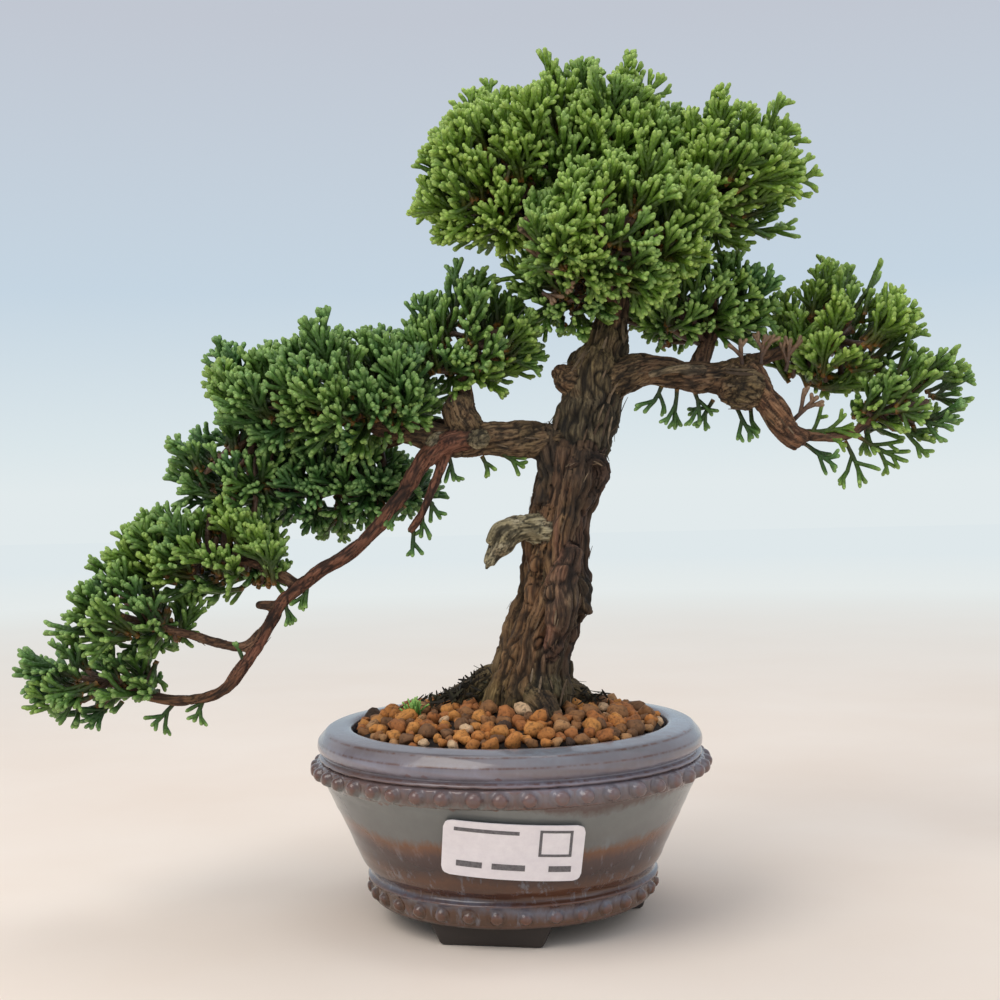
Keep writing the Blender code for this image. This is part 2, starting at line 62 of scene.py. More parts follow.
def node(tree, kind, feeds=None, stops=None, **settings):
    """Add a node, give it its settings, feed its sockets and place a ramp's stops."""
    made = tree.nodes.new(kind)
    for key, value in settings.items():
        setattr(made, key, value)
    for key, value in (feeds or {}).items():
        if isinstance(value, bpy.types.NodeSocket):
            tree.links.new(value, made.inputs[key])
        else:
            made.inputs[key].default_value = value
    if stops:
        ramp = made.color_ramp
        while len(ramp.elements) < len(stops):
            ramp.elements.new(0.5)
        for spot, (place, colour) in zip(ramp.elements, stops):
            spot.position = place
            spot.color = tone(colour) if isinstance(colour, str) else (colour, colour, colour, 1)
    return made


def new_material(name, **sockets):
    """A material with its shader's fixed values set, its tree and its shader."""
    made = bpy.data.materials.new(name)
    made.use_nodes = True
    shader = made.node_tree.nodes["Principled BSDF"]
    for key, value in sockets.items():
        shader.inputs[key.replace("_", " ")].default_value = value
    return made, made.node_tree, shader


def add_piece(name, mesh, mat):
    made = bpy.data.objects.new(name, mesh)
    bpy.context.scene.collection.objects.link(made)
    if mat:
        mesh.materials.clear()
        mesh.materials.append(mat)
    return made


def mesh_of(name, verts, faces, smooth=True):
    mesh = bpy.data.meshes.new(name)
    mesh.from_pydata([tuple(v) for v in verts], [], [tuple(f) for f in faces])
    mesh.polygons.foreach_set("use_smooth", [smooth] * len(mesh.polygons))
    mesh.update()
    return mesh


floor_mat, tree, shader = new_material("floor_paint", Roughness=0.8, Specular_IOR_Level=0.0)
grain = node(tree, "ShaderNodeTexNoise", {"Vector": node(tree, "ShaderNodeTexCoord").outputs["Object"],
                                          "Scale": 9.0, "Detail": 4.0})
shade = node(tree, "ShaderNodeValToRGB", {"Fac": grain.outputs["Fac"]},
             stops=[(0.3, "f0e0d0"), (0.7, "f5e8da")])
out = node(tree, "ShaderNodeTexGradient", {"Vector": node(tree, "ShaderNodeMapping", {
    "Vector": node(tree, "ShaderNodeTexCoord").outputs["Object"],
    "Scale": (0.5, 0.5, 1)}).outputs[0]}, gradient_type="SPHERICAL").outputs["Fac"]
far = node(tree, "ShaderNodeValToRGB", {"Fac": out}, stops=[(0.40, 1.0), (0.72, 0.55), (0.91, 0.0)])
haze = node(tree, "ShaderNodeValToRGB", {"Fac": out}, stops=[
    (0.05, "dfe8eb"), (0.45, "e6ebea"), (0.75, "ebe7e1"), (0.95, "efe6da")])
shade = node(tree, "ShaderNodeMix", {0: far.outputs[0], 6: shade.outputs[0], 7: tone("000000")},
             data_type="RGBA")
tree.links.new(shade.outputs[2], shader.inputs["Base Color"])
tree.links.new(haze.outputs[0], shader.inputs["Emission Color"])
tree.links.new(far.outputs[0], shader.inputs["Emission Strength"])
floor = add_piece("floor", mesh_of("floor", [(-3, -3, 0), (3, -3, 0), (3, 3, 0), (-3, 3, 0)],
                                   [(0, 1, 2, 3)]), floor_mat)

world = bpy.data.worlds.new("studio")
bpy.context.scene.world = world
world.use_nodes = True
tree = world.node_tree
way = node(tree, "ShaderNodeTexCoord").outputs["Generated"]
rise = node(tree, "ShaderNodeSeparateXYZ", {"Vector": way}).outputs["Z"]
sky = node(tree, "ShaderNodeValToRGB", {"Fac": rise},
           stops=[(0.0, "e2eaec"), (0.03, "dbe6ea"), (0.13, "c5d5e2"), (0.30, "c1c7d2")])
tree.links.new(sky.outputs["Color"], tree.nodes["Background"].inputs["Color"])
tree.nodes["Background"].inputs["Strength"].default_value = 1.0
bpy.context.scene.view_settings.view_transform = "Standard"

for name, place, size, power, warm in (
        ("key_light", (-0.55, -0.50, 0.85), 0.70, 5.2, "fff8f0"),
        ("fill_light", (0.75, -0.55, 0.55), 0.80, 1.1, "f4f8ff"),
        ("top_light", (0.05, 0.15, 0.95), 0.60, 2.0, "ffffff")):
    data = bpy.data.lights.new(name, "AREA")
    data.size = size
    data.energy = power
    data.color = tone(warm)[:3]
    lamp = bpy.data.objects.new(name, data)
    lamp.location = Vector(place)
    lamp.rotation_euler = (Vector((0, 0, 0.10)) - Vector(place)).to_track_quat("-Z", "Y").to_euler()
    bpy.context.scene.collection.objects.link(lamp)

# The camera stands in front, a little above the crown's middle, as far off as
# a hand-held product shot, looking almost level and rolled by a degree.
EYE = AXIS + Vector((-1.4, -405.7, 117.4)) * MM
PITCH, ROLL = 0.011, 0.021
view = bpy.data.cameras.new("camera")
view.sensor_width = 36.0
view.lens = 36.0 * 1.47655
view.clip_start = 0.01
camera = bpy.data.objects.new("camera", view)
ahead = Vector((0, math.cos(PITCH), -math.sin(PITCH)))
up = Vector((0, math.sin(PITCH), math.cos(PITCH)))
right = Vector((1, 0, 0))
turned_right = right * math.cos(ROLL) - up * math.sin(ROLL)
turned_up = right * math.sin(ROLL) + up * math.cos(ROLL)
camera.matrix_world = Matrix((
    (turned_right.x, turned_up.x, -ahead.x, EYE.x),
    (turned_right.y, turned_up.y, -ahead.y, EYE.y),
    (turned_right.z, turned_up.z, -ahead.z, EYE.z),
    (0, 0, 0, 1)))
bpy.context.scene.collection.objects.link(camera)
bpy.context.scene.camera = camera

# Pot: one piece of thrown dark stoneware with a rolled rim, a cordon, two
# beaded bands, a cove above the lower band and three block feet. It is glazed
# in grey-green over iron brown, which breaks rusty on every edge.
POT_TURNS = 720
BEADS = ((47, -92.8, 41.5, 2.05, 1.7), (33, -96.6, 8.7, 1.75, 1.25))
pot_profile = [
    (43.0, 47.0), (43.2, 50.9), (43.5, 52.1), (44.8, 52.5), (48.8, 52.0), (49.9, 51.8),
    (50.5, 51.4), (52.2, 49.4), (52.6, 48.7), (52.7, 47.2), (52.1, 46.2), (51.2, 45.8), (51.1, 45.4),
    (51.8, 45.1), (52.4, 44.6), (52.3, 44.1), (51.4, 43.9), (52.6, 43.6), (53.1, 43.2),
    (53.2, 41.5), (53.1, 39.9), (52.6, 39.1), (51.5, 38.9), (51.1, 38.5), (50.5, 37.3),
    (48.6, 33.6), (46.2, 28.6), (43.9, 23.0), (41.9, 18.4), (40.6, 15.9), (39.3, 14.6),
    (38.7, 13.6), (39.0, 12.8), (39.8, 12.3), (39.9, 11.9), (39.3, 11.3), (38.9, 8.8),
    (38.5, 6.9), (38.0, 6.0), (37.0, 5.6), (30.0, 5.6), (12.0, 5.6), (7.4, 5.7), (7.0, 6.2),
    (7.0, 11.0), (7.4, 11.6), (20.0, 11.6), (28.7, 11.7), (31.6, 13.2), (33.0, 16.0),
    (37.6, 30.0), (41.8, 42.0),
]


def corner_cut(points, closed=True):
    """Round a closed outline by cutting its corners once."""
    out = []
    count = len(points)
    for k in range(count if closed else count - 1):
        a, b = np.array(points[k]), np.array(points[(k + 1) % count])
        out += [tuple(a * 0.75 + b * 0.25), tuple(a * 0.25 + b * 0.75)]
    return out


def spaced(points, gap):
    """The closed outline with points no further apart than gap says at each place."""
    out = []
    for k, a in enumerate(points):
        b = points[(k + 1) % len(points)]
        a, b = np.array(a), np.array(b)
        parts = max(1, int(np.linalg.norm(b - a) / gap(a)))
        out += [a + (b - a) * j / parts for j in range(parts)]
    return np.array(out)


outline = corner_cut(corner_cut(pot_profile))
outline = spaced(outline, lambda p: 0.45 if abs(p[1] - 41.5) < 2.6 and p[0] > 50 or
                 p[1] < 13 and p[0] > 38 else 1.6 if p[0] > 38 and p[1] > 13 else 6.0)
rings = len(outline)
angle = np.linspace(0, 2 * np.pi, POT_TURNS, endpoint=False)
radius = np.repeat(outline[:, :1], POT_TURNS, axis=1)
height = np.repeat(outline[:, 1:], POT_TURNS, axis=1)
outer = (outline[:, 0] > 37.5)[:, None]
dice = random.Random(4)
for count, first, level, size, proud in BEADS:
    for k in range(count):
        spot = math.radians(first + 360 * k / count + dice.uniform(-0.55, 0.55))
        high = level + dice.uniform(-0.12, 0.12)
        big = size * dice.uniform(0.93, 1.07)
        ring_r = 53.2 if level > 20 else 38.9
        across = (angle[None, :] - spot + np.pi) % (2 * np.pi) - np.pi
        away = np.hypot(across * ring_r, (height - high) * 1.05) / big
        bump = np.where(away < 1, np.sqrt(np.clip(1 - away ** 2.4, 0, 1)), 0) * proud
        dish = -0.28 * np.exp(-((away - 1.22) / 0.22) ** 2)
        near = outer & (np.abs(height - level) < 3.4) & (radius > 37.9)
        radius = radius + np.where(near, bump + dish, 0)
wave = np.zeros_like(radius)
for turns, tall, size in ((2, 0.03, 0.16), (3, 0.07, 0.10), (7, 0.21, 0.05), (16, 0.5, 0.035)):
    wave += size * np.sin(turns * angle[None, :] + height * tall * 6 + turns)
radius = radius + np.where(outer, wave, 0)
xyz = np.stack([radius * np.cos(angle), radius * np.sin(angle), height], axis=2)
verts = (xyz.reshape(-1, 3)) * MM + np.array(AXIS)
k, j = np.meshgrid(np.arange(rings), np.arange(POT_TURNS), indexing="ij")
k2, j2 = (k + 1) % rings, (j + 1) % POT_TURNS
faces = np.stack([k * POT_TURNS + j, k2 * POT_TURNS + j, k2 * POT_TURNS + j2,
                  k * POT_TURNS + j2], axis=2).reshape(-1, 4)
pot_mesh = mesh_of("pot_glazed", verts.tolist(), faces.tolist())

FEET, FOOT_WIDTH, FOOT_FIRST = 3, 33.0, -100.5
bm = bmesh.new()
bm.from_mesh(pot_mesh)
for k in range(FEET):
    made = bmesh.ops.create_cube(bm, size=1.0)["verts"]
    bmesh.ops.scale(bm, vec=(8.4 * MM, FOOT_WIDTH * MM, 7.6 * MM), verts=made)
    for vert in made:
        if vert.co.z < 0:
            vert.co.y *= 0.80
            vert.co.x -= 0.8 * MM if vert.co.x > 0 else 0.0
    edges = list({e for v in made for e in v.link_edges})
    bevelled = bmesh.ops.bevel(bm, geom=edges, offset=1.0 * MM, segments=4, profile=0.5,
                               affect="EDGES")
    made = list({v for f in bevelled["faces"] for v in f.verts} | {v for v in made if v.is_valid})
    turn = Matrix.Rotation(math.radians(FOOT_FIRST + 360 / FEET * k), 4, "Z")
    place = Matrix.Translation(AXIS) @ turn @ Matrix.Translation((29.9 * MM, 0, 3.8 * MM))
    bmesh.ops.transform(bm, matrix=place, verts=made)
bmesh.ops.recalc_face_normals(bm, faces=bm.faces)
for face in bm.faces:
    face.smooth = True
bm.to_mesh(pot_mesh)
bm.free()

# Runny stoneware glaze, fired to a gloss: grey-green where it lies thick, iron
# brown below, rust on the sharp edges, with pale crystals run down the wall.
glaze, tree, shader = new_material("stoneware_glaze", Roughness=0.22, IOR=1.52,
                                   Coat_Weight=0.35, Coat_Roughness=0.08)
place = node(tree, "ShaderNodeTexCoord").outputs["Object"]
centred = node(tree, "ShaderNodeMapping", {"Vector": place, "Location": tuple(-AXIS)}).outputs[0]
tall = node(tree, "ShaderNodeSeparateXYZ", {"Vector": centred}).outputs["Z"]
streaky = node(tree, "ShaderNodeMapping", {"Vector": centred, "Scale": (1, 1, 0.22)}).outputs[0]
cloud = node(tree, "ShaderNodeTexNoise", {"Vector": centred, "Scale": 38.0, "Detail": 5.0,
                                          "Roughness": 0.6}).outputs["Fac"]
runs = node(tree, "ShaderNodeTexNoise", {"Vector": streaky, "Scale": 420.0, "Detail": 4.0,
                                         "Roughness": 0.65}).outputs["Fac"]
broad = node(tree, "ShaderNodeTexNoise", {"Vector": centred, "Scale": 14.0,
                                          "Detail": 2.0}).outputs["Fac"]
sway = node(tree, "ShaderNodeMath", {0: broad, 1: 0.5}, operation="SUBTRACT").outputs[0]
sway2 = node(tree, "ShaderNodeMath", {0: runs, 1: 0.5}, operation="SUBTRACT").outputs[0]
level = node(tree, "ShaderNodeMath", {0: sway, 1: 0.016, 2: tall}, operation="MULTIPLY_ADD")
level = node(tree, "ShaderNodeMath", {0: sway2, 1: 0.004, 2: level.outputs[0]},
             operation="MULTIPLY_ADD")
share = node(tree, "ShaderNodeMapRange", {"Value": level.outputs[0], "From Min": 0.0,
                                          "From Max": 0.054}).outputs[0]
coat = node(tree, "ShaderNodeValToRGB", {"Fac": share}, stops=[
    (0.00, "33231b"), (0.10, "48301f"), (0.19, "5a3d2b"), (0.235, "61606b"), (0.27, "4a2e22"),
    (0.34, "5c3a26"), (0.40, "3a2826"), (0.46, "4a3430"), (0.51, "71492f"), (0.55, "6b6a67"),
    (0.70, "747673"), (0.735, "5c4842"), (0.80, "736a6e"), (0.84, "84818d"), (0.90, "786f72"),
    (0.95, "7b7a80"), (1.0, "8e9aa6")]).outputs["Color"]
spots = node(tree, "ShaderNodeValToRGB", {"Fac": runs}, stops=[(0.56, 0.0), (0.72, 1.0)])
low_wall = node(tree, "ShaderNodeMapRange", {"Value": tall, "From Min": 0.030, "From Max": 0.020})
fleck = node(tree, "ShaderNodeMath", {0: spots.outputs[0], 1: low_wall.outputs[0]},
             operation="MULTIPLY")
fleck = node(tree, "ShaderNodeMath", {0: fleck.outputs[0], 1: 0.5}, operation="MULTIPLY")
coat = node(tree, "ShaderNodeMix", {0: fleck.outputs[0], 6: coat, 7: tone("8e97a3")},
            data_type="RGBA").outputs[2]
mottle = node(tree, "ShaderNodeValToRGB", {"Fac": cloud}, stops=[(0.30, 0.72), (0.70, 1.18)])
coat = node(tree, "ShaderNodeMix", {0: 0.8, 6: coat, 7: mottle.outputs[0]}, data_type="RGBA",
            blend_type="MULTIPLY").outputs[2]
edge = node(tree, "ShaderNodeNewGeometry").outputs["Pointiness"]
sharp = node(tree, "ShaderNodeValToRGB", {"Fac": edge}, stops=[(0.508, 0.0), (0.54, 1.0)])
break_share = node(tree, "ShaderNodeMath", {0: sharp.outputs[0], 1: cloud}, operation="MULTIPLY")
coat = node(tree, "ShaderNodeMix", {0: break_share.outputs[0], 6: coat, 7: tone("6e4638")},
            data_type="RGBA").outputs[2]
up_share = node(tree, "ShaderNodeMapRange", {"Value": tall, "From Min": 0.0,
                                             "From Max": 0.054}).outputs[0]
lips = []
for lip_at in (0.122, 0.226, 0.722, 0.813, 0.834, 0.908, 0.950):
    lips += [(lip_at - 0.007, 0.0), (lip_at, 1.0), (lip_at + 0.007, 0.0)]
worn_lip = node(tree, "ShaderNodeValToRGB", {"Fac": up_share}, stops=lips)
patchy = node(tree, "ShaderNodeValToRGB", {"Fac": runs}, stops=[(0.40, 0.15), (0.60, 1.0)])
lip_share = node(tree, "ShaderNodeMath", {0: worn_lip.outputs[0], 1: patchy.outputs[0]},
                 operation="MULTIPLY")
coat = node(tree, "ShaderNodeMix", {0: lip_share.outputs[0], 6: coat, 7: tone("5c3a2c")},
            data_type="RGBA").outputs[2]
foot_share = node(tree, "ShaderNodeMapRange", {"Value": tall, "From Min": 0.0066,
                                               "From Max": 0.0056})
coat = node(tree, "ShaderNodeMix", {0: foot_share.outputs[0], 6: coat, 7: tone("2a211c")},
            data_type="RGBA").outputs[2]
tree.links.new(coat, shader.inputs["Base Color"])
rough = node(tree, "ShaderNodeMapRange", {"Value": tall, "From Min": 0.007, "From Max": 0.0055,
                                          "To Min": 0.24, "To Max": 0.75})
tree.links.new(rough.outputs[0], shader.inputs["Roughness"])
grit = node(tree, "ShaderNodeTexNoise", {"Vector": centred, "Scale": 900.0, "Detail": 3.0})
bump = node(tree, "ShaderNodeBump", {"Height": grit.outputs["Fac"], "Strength": 0.12,
                                     "Distance": 0.0004})
tree.links.new(bump.outputs[0], shader.inputs["Normal"])
pot = add_piece("pot_glazed", pot_mesh, glaze)
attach(pot, "root")
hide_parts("pot")

# Growing mix and loose granules: fired clay (akadama) crumbs 3 to 6 mm across
# with a little pale pumice, dusty, heaped against the trunk. The mix below is
# the frame's own solid and the crumbs lie on it, the first 32 where it says.
MOUTH_R, EDGE_Z, HEAP = 42.0, 51.2, 5.4


def heap_z(x, y):
    """Height of the heaped mix at a spot measured from the pot's axis, in mm."""
    return EDGE_Z + HEAP * (1 - min(1, math.hypot(x, y) / MOUTH_R) ** 2)


ROCKS = 7
rock_home = bpy.data.collections.new("crumb_shapes")
dice = random.Random(21)
for k in range(ROCKS):
    bm = bmesh.new()
    bmesh.ops.create_icosphere(bm, subdivisions=2, radius=1.0)
    seat = Vector((k * 7.1, 2.3, 5.9))
    chops = [Vector((dice.gauss(0, 1), dice.gauss(0, 1), dice.gauss(0, 1))).normalized()
             for _ in range(9)]
    for vert in bm.verts:
        for chop in chops:
            over = vert.co.dot(chop) - 0.66
            if over > 0:
                vert.co -= chop * over * 0.97
        vert.co *= 1 + 0.13 * noise.noise(vert.co * 2.2 + seat)
        vert.co = Vector((vert.co.x * 1.14, vert.co.y * 0.98, vert.co.z * 0.84))
    mesh = bpy.data.meshes.new("crumb_%d" % k)
    bm.to_mesh(mesh)
    bm.free()
    mesh.polygons.foreach_set("use_smooth", [True] * len(mesh.polygons))
    rock_home.objects.link(bpy.data.objects.new("crumb_%d" % k, mesh))

spots = []
for k in range(1, 33):
    low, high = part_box("granule_%02d" % k)
    middle = (Vector(low) + Vector(high)) / 2 / MM - AXIS / MM
    size = sum(high[i] - low[i] for i in range(3)) / 6 / MM
    spots.append((middle.x, middle.y, middle.z - 0.2, size * 1.05))
tries = 0
while len(spots) < 900 and tries < 60000:
    tries += 1
    layer = 0 if tries < 30000 else 1
    size = dice.choice((1.7, 2.0, 2.3, 2.5, 2.8, 3.1)) * dice.uniform(0.9, 1.1)
    turn, out = dice.uniform(0, 2 * math.pi), (MOUTH_R - size * 0.8) * math.sqrt(dice.random())
    x, y = out * math.cos(turn), out * math.sin(turn)
    z = heap_z(x, y) + size * (0.35 if layer == 0 else -0.15)
    if math.hypot(x - 4.6, y) < 12.5:
        continue
    if all((x - a) ** 2 + (y - b) ** 2 + 2.2 * (z - c) ** 2 > (0.86 * (size + d)) ** 2
           for a, b, c, d in spots):
        spots.append((x, y, z, size))

seeds = bpy.data.meshes.new("crumb_spots")
seeds.from_pydata([tuple(Vector(s[:3]) * MM + AXIS) for s in spots], [], [])
for name, kind, values in (
        ("crumb_size", "FLOAT", [s[3] * MM for s in spots]),
        ("crumb_pick", "INT", [dice.randrange(ROCKS) for _ in spots]),
        ("crumb_hue", "FLOAT", [dice.random() for _ in spots])):
    seeds.attributes.new(name, kind, "POINT").data.foreach_set("value", values)
seeds.attributes.new("crumb_turn", "FLOAT_VECTOR", "POINT").data.foreach_set(
    "vector", [c for _ in spots for c in (dice.uniform(-0.7, 0.7), dice.uniform(-0.7, 0.7),
                                          dice.uniform(0, 6.28))])


def new_group(name, *sockets):
    """A geometry tree with its in and out sockets and its two end nodes."""
    group = bpy.data.node_groups.new(name, "GeometryNodeTree")
    group.interface.new_socket("Geometry", in_out="INPUT", socket_type="NodeSocketGeometry")
    for label, kind in sockets:
        group.interface.new_socket(label, in_out="INPUT", socket_type=kind)
    group.interface.new_socket("Geometry", in_out="OUTPUT", socket_type="NodeSocketGeometry")
    return group, group.nodes.new("NodeGroupInput"), group.nodes.new("NodeGroupOutput")


def grow(name, mesh, group, values):
    """Run a geometry tree on a mesh and keep the result as a plain mesh."""
    holder = bpy.data.objects.new(name, mesh)
    bpy.context.scene.collection.objects.link(holder)
    run = holder.modifiers.new("grow", "NODES")
    run.node_group = group
    for item in group.interface.items_tree:
        if item.in_out == "INPUT" and item.name in values:
            run[item.identifier] = values[item.name]
    bpy.context.view_layer.update()
    graph = bpy.context.evaluated_depsgraph_get()
    result = bpy.data.meshes.new_from_object(holder.evaluated_get(graph))
    result.name = name
    holder.modifiers.clear()
    bpy.data.objects.remove(holder)
    return result


crumb_tree, entry, leave = new_group("lay_crumbs", ("Shapes", "NodeSocketCollection"),
                                     ("Scale", "NodeSocketFloat"),
                                     ("Finish", "NodeSocketMaterial"))
shapes = node(crumb_tree, "GeometryNodeCollectionInfo", {
    "Collection": entry.outputs["Shapes"], "Separate Children": True, "Reset Children": True})
size = node(crumb_tree, "GeometryNodeInputNamedAttribute", {"Name": "crumb_size"}, data_type="FLOAT")
size = node(crumb_tree, "ShaderNodeMath", {0: size.outputs[0], 1: entry.outputs["Scale"]},
            operation="MULTIPLY")
pick = node(crumb_tree, "GeometryNodeInputNamedAttribute", {"Name": "crumb_pick"}, data_type="INT")
turn = node(crumb_tree, "GeometryNodeInputNamedAttribute", {"Name": "crumb_turn"},
            data_type="FLOAT_VECTOR")
laid = node(crumb_tree, "GeometryNodeInstanceOnPoints", {
    "Points": entry.outputs["Geometry"], "Instance": shapes.outputs[0], "Pick Instance": True,
    "Instance Index": pick.outputs[0], "Rotation": turn.outputs[0], "Scale": size.outputs[0]})
real = node(crumb_tree, "GeometryNodeRealizeInstances", {0: laid.outputs[0]})
painted = node(crumb_tree, "GeometryNodeSetMaterial", {
    "Geometry": real.outputs[0], "Material": entry.outputs["Finish"]})
crumb_tree.links.new(painted.outputs[0], leave.inputs[0])

# Fired clay, dry and dusty, each crumb its own shade of orange to brown, with
# fine pits; a few crumbs are cream pumice and a few nearly black.
clay, tree, shader = new_material("fired_clay", Roughness=0.82)
hue = node(tree, "ShaderNodeAttribute", attribute_name="crumb_hue").outputs["Fac"]
body = node(tree, "ShaderNodeValToRGB", {"Fac": hue}, stops=[
    (0.0, "4a3526"), (0.05, "7a5638"), (0.20, "97683e"), (0.36, "ab6b38"), (0.55, "bd7a3c"),
    (0.72, "cc8a46"), (0.86, "b08255"), (0.94, "d8b48c"), (1.0, "e8d2b4")])
body.color_ramp.interpolation = "CONSTANT"
place = node(tree, "ShaderNodeTexCoord").outputs["Object"]
speck = node(tree, "ShaderNodeTexNoise", {"Vector": place, "Scale": 900.0, "Detail": 4.0,
                                          "Roughness": 0.7})
patch = node(tree, "ShaderNodeTexNoise", {"Vector": place, "Scale": 260.0, "Detail": 3.0})
shade = node(tree, "ShaderNodeValToRGB", {"Fac": speck.outputs["Fac"]},
             stops=[(0.36, 0.35), (0.48, 1.0), (0.7, 1.2)])
both = node(tree, "ShaderNodeMix", {0: 0.85, 6: body.outputs[0], 7: shade.outputs[0]},
            data_type="RGBA", blend_type="MULTIPLY").outputs[2]
shade = node(tree, "ShaderNodeValToRGB", {"Fac": patch.outputs["Fac"]},
             stops=[(0.35, 0.78), (0.6, 1.1)])
both = node(tree, "ShaderNodeMix", {0: 0.8, 6: both, 7: shade.outputs[0]}, data_type="RGBA",
            blend_type="MULTIPLY").outputs[2]
tree.links.new(both, shader.inputs["Base Color"])
bump = node(tree, "ShaderNodeBump", {"Height": speck.outputs["Fac"], "Strength": 0.7,
                                     "Distance": 0.0005})
tree.links.new(bump.outputs[0], shader.inputs["Normal"])

crumbs = add_piece("clay_granules", grow("clay_granules", seeds, crumb_tree,
                                         {"Shapes": rock_home, "Scale": 1.0, "Finish": clay}), None)
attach(crumbs, "root")
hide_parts(*["granule_%02d" % k for k in range(1, 33)])

damp, tree, shader = new_material("damp_mix", Roughness=0.9)
speck = node(tree, "ShaderNodeTexNoise", {"Vector": node(tree, "ShaderNodeTexCoord").outputs["Object"],
                                          "Scale": 500.0, "Detail": 5.0})
shade = node(tree, "ShaderNodeValToRGB", {"Fac": speck.outputs["Fac"]},
             stops=[(0.35, "120c08"), (0.6, "2f2015"), (0.75, "4d3420")])
tree.links.new(shade.outputs[0], shader.inputs["Base Color"])
bump = node(tree, "ShaderNodeBump", {"Height": speck.outputs["Fac"], "Strength": 0.9,
                                     "Distance": 0.0008})
tree.links.new(bump.outputs[0], shader.inputs["Normal"])
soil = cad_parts["soil"]
soil.material_slots[0].material = damp

# Label: a white paper sticker on the front of the wall, printed with plain grey
# bars and an empty outlined square. The print is ink, thin closed slabs that
# lie on the paper and bend with it.
paper, tree, shader = new_material("label_paper", Roughness=0.42)
fibre = node(tree, "ShaderNodeTexNoise", {"Vector": node(tree, "ShaderNodeTexCoord").outputs["Object"],
                                          "Scale": 260.0, "Detail": 5.0, "Roughness": 0.7})
white = node(tree, "ShaderNodeValToRGB", {"Fac": fibre.outputs["Fac"]},
             stops=[(0.3, "e9e2e6"), (0.7, "f6f0f2")])
tree.links.new(white.outputs[0], shader.inputs["Base Color"])
bump = node(tree, "ShaderNodeBump", {"Height": fibre.outputs["Fac"], "Strength": 0.1,
                                     "Distance": 0.0002})
tree.links.new(bump.outputs[0], shader.inputs["Normal"])
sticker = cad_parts["label"]
sticker.material_slots[0].material = paper

LABEL_LEAN = math.radians(5.0)
bm = bmesh.new()
bm.from_mesh(sticker.data)
face_of = BVHTree.FromBMesh(bm)
bm.free()
label_low, label_high = (Vector(v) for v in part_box("label"))
middle = (label_low + label_high) / 2
bm = bmesh.new()
prints = [(-14.8, 4.7, 1.2, 5.7), (-13.8, -5.0, -7.4, -3.4), (-5.0, -5.0, 3.2, -3.4),
          (9.0, -5.0, 14.6, -3.4), (6.2, 5.6, 14.4, 6.3), (6.2, -0.9, 14.4, -0.2),
          (6.2, -0.2, 6.9, 5.6), (13.7, -0.2, 14.4, 5.6)]
for left, low, right_x, high in prints:
    across_n = max(1, round((right_x - left) / 0.7))
    up_n = max(1, round((high - low) / 0.7))
    layers = []
    for lift in (0.06, -0.06):
        sheet = []
        for j in range(up_n + 1):
            for i in range(across_n + 1):
                u = left + (right_x - left) * i / across_n
                v = low + (high - low) * j / up_n
                x = middle.x + (u * math.cos(LABEL_LEAN) + v * math.sin(LABEL_LEAN)) * MM
                z = middle.z + (v * math.cos(LABEL_LEAN) - u * math.sin(LABEL_LEAN)) * MM
                hit = face_of.ray_cast(Vector((x, middle.y - 0.05, z)), Vector((0, 1, 0)))
                y = hit[0].y if hit[0] else middle.y
                sheet.append(bm.verts.new((x, y - lift * MM, z)))
        layers.append(sheet)
    wide = across_n + 1
    for j in range(up_n):
        for i in range(across_n):
            a = j * wide + i
            quad = (a, a + 1, a + 1 + wide, a + wide)
            bm.faces.new([layers[0][k] for k in quad])
            bm.faces.new([layers[1][k] for k in quad[::-1]])
    rim = [i for i in range(wide)] + [j * wide + across_n for j in range(1, up_n + 1)]
    rim += [up_n * wide + i for i in range(across_n - 1, -1, -1)]
    rim += [j * wide for j in range(up_n - 1, 0, -1)]
    for a, b in zip(rim, rim[1:] + rim[:1]):
        bm.faces.new((layers[0][b], layers[0][a], layers[1][a], layers[1][b]))
bmesh.ops.recalc_face_normals(bm, faces=bm.faces)
ink_mesh = bpy.data.meshes.new("label_print")
bm.to_mesh(ink_mesh)
bm.free()
ink, tree, shader = new_material("printed_ink", Roughness=0.5)
worn = node(tree, "ShaderNodeTexNoise", {"Vector": node(tree, "ShaderNodeTexCoord").outputs["Object"],
                                         "Scale": 1500.0, "Detail": 2.0})
dark = node(tree, "ShaderNodeValToRGB", {"Fac": worn.outputs["Fac"]},
            stops=[(0.3, "565356"), (0.75, "7a777a")])
tree.links.new(dark.outputs[0], shader.inputs["Base Color"])
print_piece = add_piece("label_print", ink_mesh, ink)
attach(print_piece, "root")

